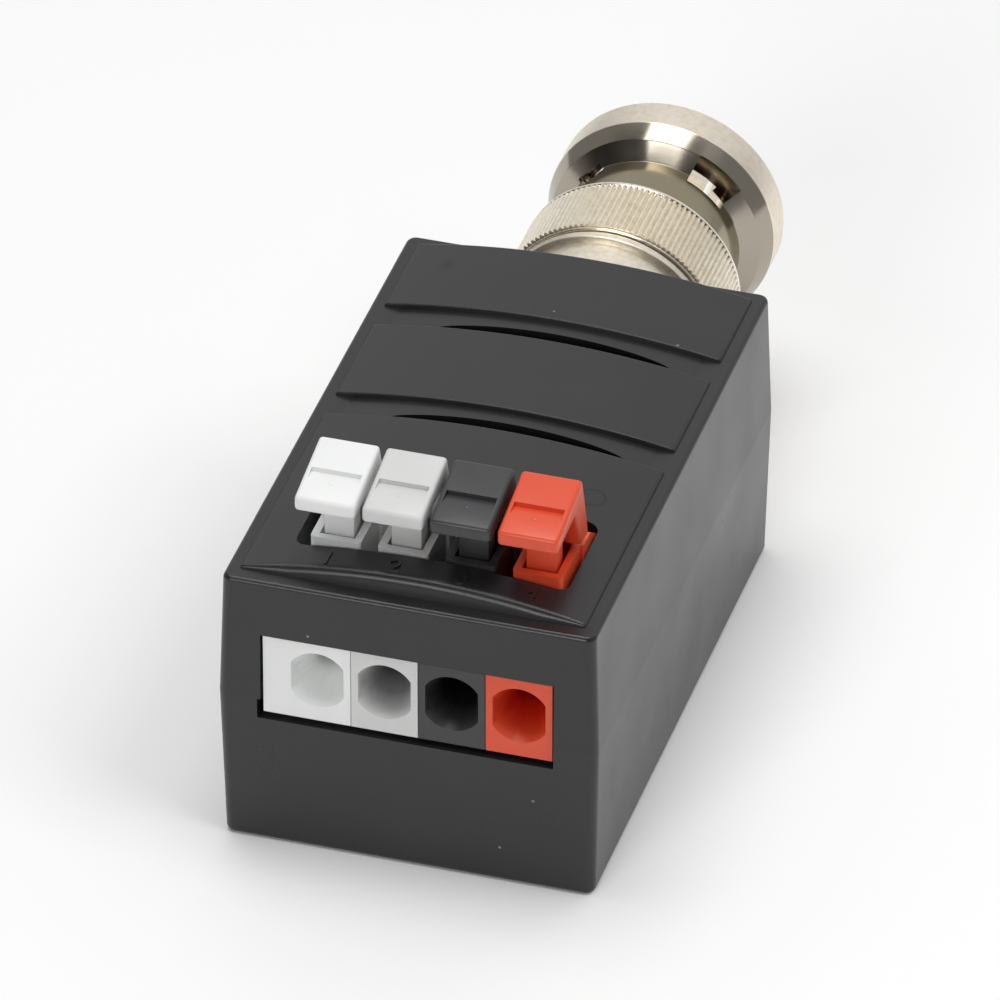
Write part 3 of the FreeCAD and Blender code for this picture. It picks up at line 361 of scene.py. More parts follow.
class Sheet:
    """One new material with its Principled BSDF and short ways to wire it."""

    def __init__(self, name: str) -> None:
        """Make an empty node material.

        Args:
            name: The material's name.
        """
        self.material = bpy.data.materials.new(name)
        self.material.use_nodes = True
        self.tree = self.material.node_tree
        self.bsdf = self.tree.nodes["Principled BSDF"]

    def group(self, name: str, values: dict[str, float]) -> bpy.types.Node:
        """Place a shared group in the material.

        Args:
            name: The group's name.
            values: Its input values.

        Returns:
            The group node.
        """
        node = self.tree.nodes.new("ShaderNodeGroup")
        node.node_tree = GROUPS.get(name)
        for key, value in values.items():
            node.inputs[key].default_value = value
        return node

    def mixed(self, factor: bpy.types.NodeSocket, low: Tone | bpy.types.NodeSocket,
              high: Tone) -> bpy.types.NodeSocket:
        """Mix two colours by a mask and return the result."""
        node = self.tree.nodes.new("ShaderNodeMix")
        node.data_type = "RGBA"
        self.tree.links.new(factor, node.inputs[0])
        if isinstance(low, tuple):
            node.inputs[6].default_value = low
        else:
            self.tree.links.new(low, node.inputs[6])
        node.inputs[7].default_value = high
        return node.outputs[2]

    def bump(self, height: bpy.types.NodeSocket, depth: float, strength: float) -> None:
        """Feed a height through a Bump node into the Normal.

        Args:
            height: The height value.
            depth: The relief in metres for a height of 1.
            strength: The bump's strength.
        """
        node = self.tree.nodes.new("ShaderNodeBump")
        node.inputs["Distance"].default_value = depth
        node.inputs["Strength"].default_value = strength
        self.tree.links.new(height, node.inputs["Height"])
        self.tree.links.new(node.outputs["Normal"], self.bsdf.inputs["Normal"])

    def link(self, value: bpy.types.NodeSocket, name: str) -> None:
        """Wire a value to one of the Principled BSDF's inputs."""
        self.tree.links.new(value, self.bsdf.inputs[name])


@dataclass(frozen=True)
class MouldedPlastic:
    """Injection-moulded plastic with a fine skin grain, which can carry dust, round marks and painted
    shade in the wire entries.
    """

    name: str
    base: Tone
    mottled: Tone
    roughness: tuple[float, float] = (0.38, 0.5)
    grain_scale: float = 9000.0
    grain_depth: float = 0.00002
    grain_strength: float = 0.35
    dust: Tone | None = None
    deep: Tone | None = None
    marks: tuple[tuple[float, float, float, float], ...] = ()
    mark_tone: Tone = colour(14, 14, 16)
    subsurface: float = 0.0
    subsurface_reach: float = 0.4

    def make(self) -> bpy.types.Material:
        """Build the material."""
        sheet = Sheet(self.name)
        grain = sheet.group("moulded_grain", {"Grain Scale": self.grain_scale,
                                              "Roughness Low": self.roughness[0],
                                              "Roughness High": self.roughness[1]})
        skin = sheet.mixed(grain.outputs["Mottle"], self.base, self.mottled)
        if self.dust is not None:
            specks = sheet.group("dust_specks", {})
            skin = sheet.mixed(specks.outputs["Mask"], skin, self.dust)
        # A gate spot is the moulding's own mark; a ring is painted shade round a shallow relief.
        for x, y, radius, width in self.marks:
            mark = sheet.group("round_mark", {"X": x * MM, "Y": y * MM, "Radius": radius * MM,
                                              "Width": width * MM})
            skin = sheet.mixed(mark.outputs["Mark"], skin, self.mark_tone)
        # Painted shade: the wire entries darken towards their depth, in place of the shade inside them.
        if self.deep is not None:
            depth = sheet.group("entry_depth", {})
            skin = sheet.mixed(depth.outputs["Depth"], skin, self.deep)
        sheet.link(skin, "Base Color")
        sheet.link(grain.outputs["Roughness"], "Roughness")
        sheet.bsdf.inputs["Subsurface Weight"].default_value = self.subsurface
        sheet.bsdf.inputs["Subsurface Scale"].default_value = self.subsurface_reach * MM
        sheet.bump(grain.outputs["Height"], self.grain_depth, self.grain_strength)
        return sheet.material


@dataclass(frozen=True)
class PlatedMetal:
    """Bright plating over turned brass, with lathe rings, cloudy stains and optional bands of painted
    shade.
    """

    name: str
    base: Tone
    stain: Tone
    roughness: tuple[float, float] = (0.14, 0.28)
    ring_depth: float = 0.000004
    ring_strength: float = 0.25
    satin_rim: tuple[float, float, float, float] | None = None
    satin: float = 0.42
    dull_bands: tuple[tuple[tuple[float, ...], Tone], ...] = ()

    def make(self) -> bpy.types.Material:
        """Build the material."""
        sheet = Sheet(self.name)
        mottle = sheet.group("plating_mottle", {"Roughness Low": self.roughness[0],
                                                "Roughness High": self.roughness[1]})
        rings = sheet.group("turning_marks", {})
        skin = sheet.mixed(mottle.outputs["Stain"], self.base, self.stain)
        rough = mottle.outputs["Roughness"]
        # Painted shade: each band darkens the plating's colour along part of the axis.
        for limits, tone in self.dull_bands:
            skin = sheet.mixed(self.band(sheet, limits), skin, tone)
        if self.satin_rim is not None:
            satin = GROUPS.worked(sheet.tree, "MULTIPLY", self.band(sheet, self.satin_rim), self.satin)
            rough = GROUPS.worked(sheet.tree, "MAXIMUM", rough, satin)
        sheet.link(skin, "Base Color")
        sheet.link(rough, "Roughness")
        sheet.bsdf.inputs["Metallic"].default_value = 1.0
        sheet.bump(rings.outputs["Height"], self.ring_depth, self.ring_strength)
        return sheet.material

    @staticmethod
    def band(sheet: Sheet, limits: tuple[float, ...]) -> bpy.types.NodeSocket:
        """Place a band mask with limits in millimetres: near, far, inner radius, outer radius."""
        names = ("Near", "Far", "Inner", "Outer")
        values = {name: value * MM for name, value in zip(names, limits)}
        return sheet.group("axis_band", values).outputs["Mask"]


@dataclass
class Finishes:
    """Every material of the balun, made once."""

    case: bpy.types.Material = field(init=False)
    modules: dict[Hue, bpy.types.Material] = field(init=False)
    nickel: bpy.types.Material = field(init=False)
    knurl: bpy.types.Material = field(init=False)
    tin: bpy.types.Material = field(init=False)
    steel: bpy.types.Material = field(init=False)
    insulator: bpy.types.Material = field(init=False)
    rubber: bpy.types.Material = field(init=False)
    board: bpy.types.Material = field(init=False)
    ferrite: bpy.types.Material = field(init=False)
    enamel: bpy.types.Material = field(init=False)
    chip: bpy.types.Material = field(init=False)

    def __post_init__(self) -> None:
        """Build the materials."""
        self.case = MouldedPlastic("case_black", colour(33, 33, 35), colour(38, 38, 40),
                                   roughness=(0.27, 0.34), dust=colour(120, 120, 120),
                                   # The spot is a gate mark; the ring beside the red lever is painted
                                   # shade round the rounded corner of a shallow recess.
                                   marks=((-7.7, 15.0, 0.0, 0.8), (7.2, -5.6, 0.75, 0.16))).make()
        tints = {
            # The third tone of each hue is painted shade for the inside of its wire entries.
            Hue.WHITE: (colour(238, 239, 238), colour(235, 236, 235), colour(240, 242, 240)),
            Hue.GREY: (colour(216, 216, 215), colour(210, 210, 209), colour(128, 128, 128)),
            Hue.BLACK: (colour(54, 54, 56), colour(60, 60, 62), colour(14, 14, 15)),
            Hue.RED: (colour(226, 82, 48), colour(220, 77, 44), colour(190, 36, 13)),
        }
        self.modules = {hue: MouldedPlastic("terminal_" + hue.value, low, high, roughness=(0.3, 0.4),
                                            grain_strength=0.2, subsurface=0.06, deep=deep).make()
                        for hue, (low, high, deep) in tints.items()}
        self.nickel = PlatedMetal("nickel_bright", colour(246, 237, 222), colour(236, 225, 206),
                                  roughness=(0.12, 0.2), satin_rim=(33.6, 36.0, 7.0, 8.0),
                                  # Painted shade on the waist and a painted dark reflection on the
                                  # flare's cone: both bands darken the plating's colour.
                                  dull_bands=(((27.8, 31.8, 5.2, 5.6), (0.34, 0.3, 0.21, 1.0)),
                                              ((31.8, 33.56, 5.2, 7.04), (0.4, 0.36, 0.3, 1.0)))).make()
        self.knurl = PlatedMetal("nickel_knurl", colour(252, 244, 228), colour(238, 228, 209),
                                 roughness=(0.36, 0.46)).make()
        self.tin = PlatedMetal("tinned_brass", colour(214, 210, 196), colour(180, 172, 150),
                               roughness=(0.3, 0.42)).make()
        self.steel = PlatedMetal("spring_steel", colour(188, 188, 188), colour(150, 148, 146),
                                 roughness=(0.25, 0.38)).make()
        self.insulator = MouldedPlastic("turned_insulator", colour(234, 233, 226),
                                        colour(226, 224, 214), roughness=(0.22, 0.3),
                                        grain_strength=0.1, subsurface=0.15).make()
        self.rubber = MouldedPlastic("gasket_rubber", colour(150, 62, 48), colour(138, 54, 42),
                                     roughness=(0.6, 0.75)).make()
        self.board = MouldedPlastic("board_laminate", colour(34, 92, 58), colour(28, 80, 50),
                                    roughness=(0.25, 0.4)).make()
        self.ferrite = MouldedPlastic("sintered_ferrite", colour(62, 62, 66), colour(48, 48, 52),
                                      roughness=(0.55, 0.7), grain_strength=0.6).make()
        self.enamel = PlatedMetal("enamelled_copper", colour(176, 96, 52), colour(150, 74, 38),
                                  roughness=(0.2, 0.3)).make()
        self.chip = MouldedPlastic("chip_moulding", colour(44, 44, 46), colour(36, 36, 38),
                                   roughness=(0.35, 0.5)).make()


def add_object(name: str, mesh: bpy.types.Mesh) -> bpy.types.Object:
    """Link a mesh into the scene as an object at the origin."""
    made = bpy.data.objects.new(name, mesh)
    bpy.context.scene.collection.objects.link(made)
    return made


def from_work(name: str, work: bmesh.types.BMesh, outwards: bool = True) -> bpy.types.Object:
    """Turn a working mesh into an object.

    Args:
        name: The object's name.
        work: The working mesh, which is freed.
        outwards: Whether its faces are turned outwards first.

    Returns:
        The new object.
    """
    if outwards:
        bmesh.ops.recalc_face_normals(work, faces=work.faces)
    mesh = bpy.data.meshes.new(name)
    work.to_mesh(mesh)
    work.free()
    return add_object(name, mesh)


def plain_mesh(made: bpy.types.Object) -> bpy.types.Object:
    """Turn an object's evaluated result into its plain mesh and drop its modifiers.

    Args:
        made: The object with modifiers.

    Returns:
        The same object.
    """
    graph = bpy.context.evaluated_depsgraph_get()
    mesh = bpy.data.meshes.new_from_object(made.evaluated_get(graph))
    made.modifiers.clear()
    made.data = mesh
    return made


def finished(made: bpy.types.Object, material: bpy.types.Material, angle: float = 34.0
             ) -> bpy.types.Object:
    """Shade an object smooth up to an angle and give it its one material.

    Args:
        made: The object.
        material: Its finish.
        angle: Edges sharper than this many degrees stay sharp.

    Returns:
        The same object.
    """
    made.data.materials.clear()
    made.data.materials.append(material)
    for polygon in made.data.polygons:
        polygon.material_index = 0
    made.data.shade_smooth()
    made.data.set_sharp_from_angle(angle=math.radians(angle))
    return made


def clean_copy(node: str) -> bpy.types.Object:
    """Copy a CAD node with its faces joined up and its stored normals dropped.

    Args:
        node: The CAD node's name.

    Returns:
        The new object.
    """
    mesh = frame["nodes"][node].data.copy()
    work = bmesh.new()
    work.from_mesh(mesh)
    bmesh.ops.remove_doubles(work, verts=work.verts, dist=MERGE_DISTANCE * MM)
    bmesh.ops.dissolve_limit(work, angle_limit=math.radians(FLAT_ANGLE), verts=work.verts,
                             edges=work.edges)
    work.to_mesh(mesh)
    work.free()
    for name in [a.name for a in mesh.attributes if a.name == "custom_normal"]:
        mesh.attributes.remove(mesh.attributes[name])
    return add_object(node + "_finished", mesh)


def softened(made: bpy.types.Object, width: float, segments: int, angle: float = 25.0
             ) -> bpy.types.Object:
    """Round the edges of an object that are sharper than an angle.

    Args:
        made: The object.
        width: Width of the rounding.
        segments: Steps across it.
        angle: Smallest angle that is rounded, in degrees.

    Returns:
        The same object with a plain mesh.
    """
    bevel = made.modifiers.new("rounding", "BEVEL")
    bevel.limit_method = "ANGLE"
    bevel.angle_limit = math.radians(angle)
    bevel.width = width * MM
    bevel.segments = segments
    return plain_mesh(made)


def evened(made: bpy.types.Object) -> bpy.types.Object:
    """Weight the shading normals by face area, so that flat faces beside roundings look flat."""
    weights = made.modifiers.new("weights", "WEIGHTED_NORMAL")
    weights.keep_sharp = True
    return plain_mesh(made)


def rounded_profile(corners: Sequence[Corner], steps: int = 4) -> Outline:
    """Round the corners of a closed profile.

    Args:
        corners: Points of (radius from the axis, distance behind the box, corner radius).
        steps: Steps along each rounded corner.

    Returns:
        The finer profile.
    """
    out: list[tuple[float, float]] = []
    count = len(corners)
    for i, (r, y, rounding) in enumerate(corners):
        here = Vector((r, y))
        if rounding <= 0:
            out.append((r, y))
            continue
        before = Vector(corners[i - 1][:2])
        after = Vector(corners[(i + 1) % count][:2])
        a, b = before - here, after - here
        half = a.angle(b) / 2
        reach = min(rounding / math.tan(half), a.length * 0.45, b.length * 0.45)
        p, q = here + a.normalized() * reach, here + b.normalized() * reach
        for k in range(steps + 1):
            t = k / steps
            point = p * (1 - t) ** 2 + here * 2 * t * (1 - t) + q * t ** 2
            out.append((point.x, point.y))
    return out


@dataclass(frozen=True)
class PlugAxis:
    """The plug's axis and the lathe that turns profiles round it."""

    height: float = 11.2
    back_face: float = 18.5

    def point(self, radius: float, angle: float, y: float) -> Vector:
        """Place a point by radius, angle from +X in radians and distance behind the box."""
        return Vector((radius * math.cos(angle), self.back_face + y,
                       self.height + radius * math.sin(angle))) * MM

    def turned(self, name: str, profile: Outline, segments: int = 192) -> bpy.types.Object:
        """Turn a closed profile round the axis.

        Args:
            name: The new object's name.
            profile: Points of (radius, distance behind the box), which may touch the axis.
            segments: Steps round the axis.

        Returns:
            The new object, closed and with its faces outwards.
        """
        work = bmesh.new()
        rings: list[list[bmesh.types.BMVert]] = []
        for radius, y in profile:
            if radius < 1e-6:
                rings.append([work.verts.new(self.point(0, 0, y))])
            else:
                rings.append([work.verts.new(self.point(radius, 2 * math.pi * k / segments, y))
                              for k in range(segments)])
        for i, ring in enumerate(rings):
            after = rings[(i + 1) % len(rings)]
            for k in range(segments):
                n = (k + 1) % segments
                if len(ring) == 1 and len(after) == 1:
                    break
                if len(ring) == 1:
                    work.faces.new((ring[0], after[k], after[n]))
                elif len(after) == 1:
                    work.faces.new((ring[k], after[0], ring[n]))
                else:
                    work.faces.new((ring[k], after[k], after[n], ring[n]))
        return from_work(name, work)

    def sector_cutter(self, name: str, path: Sequence[tuple[float, float]], half_width: float,
                      low: float, high: float) -> bpy.types.Object:
        """Make a slot cutter that follows a path on the unrolled nut.

        Args:
            name: The object's name.
            path: Points of (angle in degrees, distance behind the box) along the slot's middle.
            half_width: Half the slot's width.
            low: Inner radius.
            high: Outer radius.

        Returns:
            The cutter.
        """
        work = bmesh.new()
        middle = (low + high) / 2
        flat = [Vector((math.radians(a) * middle, y)) for a, y in path]
        rows = []
        for i, here in enumerate(flat):
            before, after = flat[max(i - 1, 0)], flat[min(i + 1, len(flat) - 1)]
            along = (after - before).normalized()
            side = Vector((-along.y, along.x)) * half_width
            row = []
            for radius in (low, high):
                for sign in (-1, 1):
                    spot = here + side * sign
                    row.append(work.verts.new(self.point(radius, spot.x / middle, spot.y)))
            rows.append(row)
        for a, b in zip(rows, rows[1:]):
            for p, q in ((0, 1), (1, 3), (3, 2), (2, 0)):
                work.faces.new((a[p], a[q], b[q], b[p]))
        work.faces.new([rows[0][k] for k in (0, 1, 3, 2)])
        work.faces.new([rows[-1][k] for k in (0, 2, 3, 1)])
        return from_work(name, work)

    def peg_cutter(self, name: str, angle: float, y: float, radius: float, low: float, high: float,
                   sides: int = 32) -> bpy.types.Object:
        """Make a round cutter that stands on the axis at an angle in degrees."""
        turn = math.radians(angle)
        outward = Vector((math.cos(turn), 0, math.sin(turn)))
        across = Vector((-math.sin(turn), 0, math.cos(turn)))
        centre = Vector((0, self.back_face + y, self.height))
        ends = []
        for reach in (low, high):
            ends.append([centre + outward * reach + across * radius * math.cos(2 * math.pi * k / sides)
                         + Vector((0, radius * math.sin(2 * math.pi * k / sides), 0))
                         for k in range(sides)])
        return lofted(name, ends)


def cut_away(made: bpy.types.Object, cutters: Sequence[bpy.types.Object]) -> bpy.types.Object:
    """Cut solids out of an object one after another and delete them.

    Args:
        made: The object to cut.
        cutters: Closed cutters.

    Returns:
        The same object with a plain mesh.
    """
    for cutter in cutters:
        knife = made.modifiers.new("cut", "BOOLEAN")
        knife.operation = "DIFFERENCE"
        knife.solver = "EXACT"
        knife.object = cutter
        plain_mesh(made)
        bpy.data.objects.remove(cutter)
    return made


def carry(piece: bpy.types.Object, body: str, node: str | None = None
          ) -> bpy.types.Object:
    """Let a piece ride on a body, and stand for a CAD node if one is named.

    Args:
        piece: The piece.
        body: The body's name.
        node: The CAD node that it replaces.

    Returns:
        The same piece.
    """
    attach(piece, body)
    if node is not None:
        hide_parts(node)
    LOG.info("%s rides on %s", piece.name, body)
    return piece


class RepeatTree:
    """A geometry node tree with named inputs that is baked into a plain mesh."""

    def __init__(self, name: str, inputs: dict[str, str]) -> None:
        """Make a tree with a Geometry output and the inputs it needs.

        Args:
            name: The tree's name.
            inputs: Input names with their socket types.
        """
        self.tree = bpy.data.node_groups.new(name, "GeometryNodeTree")
        self.ids: dict[str, str] = {}
        for label, kind in inputs.items():
            socket = self.tree.interface.new_socket(label, in_out="INPUT", socket_type=kind)
            self.ids[label] = socket.identifier
        self.tree.interface.new_socket("Geometry", in_out="OUTPUT", socket_type="NodeSocketGeometry")
        self.start = self.tree.nodes.new("NodeGroupInput")
        self.end = self.tree.nodes.new("NodeGroupOutput")

    def node(self, kind: str, links: dict[str | int, bpy.types.NodeSocket] | None = None,
             **settings: object) -> bpy.types.Node:
        """Add a node, set its properties and link its inputs.

        Args:
            kind: The node type.
            links: Input names or numbers with the sockets that feed them.
            **settings: Node properties.

        Returns:
            The node.
        """
        made = self.tree.nodes.new(kind)
        for name, value in settings.items():
            setattr(made, name, value)
        for key, socket in (links or {}).items():
            self.tree.links.new(socket, made.inputs[key])
        return made

    def math(self, operation: str, first: bpy.types.NodeSocket | float,
             second: bpy.types.NodeSocket | float) -> bpy.types.NodeSocket:
        """Add a Math node on two sockets or numbers."""
        made = self.node("ShaderNodeMath", operation=operation)
        for i, value in enumerate((first, second)):
            if isinstance(value, (int, float)):
                made.inputs[i].default_value = value
            else:
                self.tree.links.new(value, made.inputs[i])
        return made.outputs[0]

    def close(self, geometry: bpy.types.NodeSocket, material: bpy.types.NodeSocket) -> None:
        """End the tree in Realize Instances and Set Material."""
        real = self.node("GeometryNodeRealizeInstances", {"Geometry": geometry})
        dressed = self.node("GeometryNodeSetMaterial", {"Geometry": real.outputs["Geometry"],
                                                        "Material": material})
        self.tree.links.new(dressed.outputs["Geometry"], self.end.inputs["Geometry"])

    def bake(self, name: str, values: dict[str, object]) -> bpy.types.Object:
        """Run the tree with its values and return the plain object.

        Args:
            name: The object's name.
            values: Input names with values.

        Returns:
            The object with a plain mesh and no modifier.
        """
        made = add_object(name, bpy.data.meshes.new(name))
        modifier = made.modifiers.new(name, "NODES")
        modifier.node_group = self.tree
        for label, value in values.items():
            modifier[self.ids[label]] = value
        return plain_mesh(made)


def knurl_tree() -> RepeatTree:
    """Build the tree that stands straight ridges round the nut.

    Returns:
        The tree, with inputs for the ridges' number, place and section.
    """
    tree = RepeatTree("knurl_ridges", {
        "Ridges": "NodeSocketInt", "Radius": "NodeSocketFloat", "Start": "NodeSocketFloat",
        "Length": "NodeSocketFloat", "Foot Width": "NodeSocketFloat", "Crest Width": "NodeSocketFloat",
        "Depth": "NodeSocketFloat", "Axis Height": "NodeSocketFloat", "Material": "NodeSocketMaterial"})
    given = tree.start.outputs
    end = tree.math("ADD", given["Start"], given["Length"])
    near = tree.node("ShaderNodeCombineXYZ", {"Y": given["Start"], "Z": given["Radius"]})
    far = tree.node("ShaderNodeCombineXYZ", {"Y": end, "Z": given["Radius"]})
    line = tree.node("GeometryNodeCurvePrimitiveLine", {"Start": near.outputs[0], "End": far.outputs[0]})
    cut = tree.node("GeometryNodeResampleCurve", {"Curve": line.outputs["Curve"]})
    cut.inputs["Count"].default_value = 9  # stations along a ridge
    along = tree.node("GeometryNodeSplineParameter").outputs["Factor"]
    from_middle = tree.math("ABSOLUTE", tree.math("SUBTRACT", along, 0.5), 0.0)
    run_out = tree.node("ShaderNodeMapRange", {"Value": from_middle})
    run_out_range = {"From Min": 0.36, "From Max": 0.5, "To Min": 1.0, "To Max": 0.3}
    for name, value in run_out_range.items():
        run_out.inputs[name].default_value = value
    tapered = tree.node("GeometryNodeSetCurveRadius", {"Curve": cut.outputs["Curve"],
                                                       "Radius": run_out.outputs["Result"]})
    section = tree.node("GeometryNodeCurvePrimitiveQuadrilateral", mode="TRAPEZOID")
    tree.tree.links.new(given["Foot Width"], section.inputs["Top Width"])
    tree.tree.links.new(given["Crest Width"], section.inputs["Bottom Width"])
    tree.tree.links.new(given["Depth"], section.inputs["Height"])
    section.inputs["Offset"].default_value = 0.0
    ridge = tree.node("GeometryNodeCurveToMesh", {"Curve": tapered.outputs["Curve"],
                                                  "Profile Curve": section.outputs["Curve"]})
    ridge.inputs["Fill Caps"].default_value = True
    points = tree.node("GeometryNodePoints", {"Count": given["Ridges"]})
    index = tree.node("GeometryNodeInputIndex").outputs[0]
    turn = tree.math("DIVIDE", tree.math("MULTIPLY", index, 2 * math.pi), given["Ridges"])
    angle = tree.node("ShaderNodeCombineXYZ", {"Y": turn})
    ring = tree.node("GeometryNodeInstanceOnPoints", {
        "Points": points.outputs[0], "Instance": ridge.outputs["Mesh"], "Rotation": angle.outputs[0]})
    lift = tree.node("ShaderNodeCombineXYZ", {"Z": given["Axis Height"]})
    placed = tree.node("GeometryNodeTransform", {"Geometry": ring.outputs["Instances"],
                                                 "Translation": lift.outputs[0]})
    tree.close(placed.outputs["Geometry"], given["Material"])
    return tree


def winding_tree() -> RepeatTree:
    """Build the tree that wraps wire turns round the transformer's ring core.

    Returns:
        The tree, with inputs for the number of turns, the wire and the ring's section.
    """
    tree = RepeatTree("winding_turns", {
        "Turns": "NodeSocketInt", "Middle Radius": "NodeSocketFloat", "Width": "NodeSocketFloat",
        "Height": "NodeSocketFloat", "Wire Radius": "NodeSocketFloat", "Centre": "NodeSocketVector",
        "Material": "NodeSocketMaterial"})
    given = tree.start.outputs
    loop = tree.node("GeometryNodeCurvePrimitiveQuadrilateral", {"Width": given["Width"],
                                                                 "Height": given["Height"]})
    soft = tree.node("GeometryNodeFilletCurve", {0: loop.outputs["Curve"]}, mode="POLY")
    soft.inputs["Count"].default_value = 4
    tree.tree.links.new(tree.math("MULTIPLY", given["Width"], 0.22), soft.inputs["Radius"])
    wire = tree.node("GeometryNodeCurvePrimitiveCircle", {"Radius": given["Wire Radius"]})
    wire.inputs["Resolution"].default_value = 8
    turn_mesh = tree.node("GeometryNodeCurveToMesh", {"Curve": soft.outputs[0],
                                                      "Profile Curve": wire.outputs["Curve"]})
    out = tree.node("ShaderNodeCombineXYZ", {"X": given["Middle Radius"]})
    upright = tree.node("GeometryNodeTransform", {"Geometry": turn_mesh.outputs["Mesh"],
                                                  "Translation": out.outputs[0]})
    upright.inputs["Rotation"].default_value = (math.pi / 2, 0, 0)
    points = tree.node("GeometryNodePoints", {"Count": given["Turns"]})
    index = tree.node("GeometryNodeInputIndex").outputs[0]
    turn = tree.math("DIVIDE", tree.math("MULTIPLY", index, 2 * math.pi), given["Turns"])
    angle = tree.node("ShaderNodeCombineXYZ", {"Z": turn})
    ring = tree.node("GeometryNodeInstanceOnPoints", {
        "Points": points.outputs[0], "Instance": upright.outputs["Geometry"],
        "Rotation": angle.outputs[0]})
    placed = tree.node("GeometryNodeTransform", {"Geometry": ring.outputs["Instances"],
                                                 "Translation": given["Centre"]})
    tree.close(placed.outputs["Geometry"], given["Material"])
    return tree


def prism(name: str, outline: Outline, left: float, right: float) -> bpy.types.Object:
    """Draw a side outline of (y, z) points across from left to right.

    Args:
        name: The new object's name.
        outline: The points, in order round the outline.
        left: Lowest x.
        right: Highest x.

    Returns:
        The new closed object.
    """
    return lofted(name, [[(x, y, z) for y, z in outline] for x in (left, right)])


def lofted(name: str, loops: Sequence[Sequence[Corner | Vector]]) -> bpy.types.Object:
    """Join equal loops of points in millimetres into one closed object.

    Args:
        name: The new object's name.
        loops: Loops with the same number of points; the first and the last are closed flat.

    Returns:
        The new closed object.
    """
    work = bmesh.new()
    rings = [[work.verts.new(Vector(point) * MM) for point in loop] for loop in loops]
    for low, high in zip(rings, rings[1:]):
        for k in range(len(low)):
            n = (k + 1) % len(low)
            work.faces.new((low[k], low[n], high[n], high[k]))
    work.faces.new(rings[0][::-1])
    work.faces.new(rings[-1])
    return from_work(name, work)


def gathered(name: str, pieces: Sequence[bpy.types.Object]) -> bpy.types.Object:
    """Gather closed pieces into one object and delete the singles.

    Args:
        name: The new object's name.
        pieces: Objects at the origin.

    Returns:
        One object with all their meshes.
    """
    work = bmesh.new()
    for piece in pieces:
        work.from_mesh(piece.data)
        bpy.data.objects.remove(piece)
    return from_work(name, work, False)


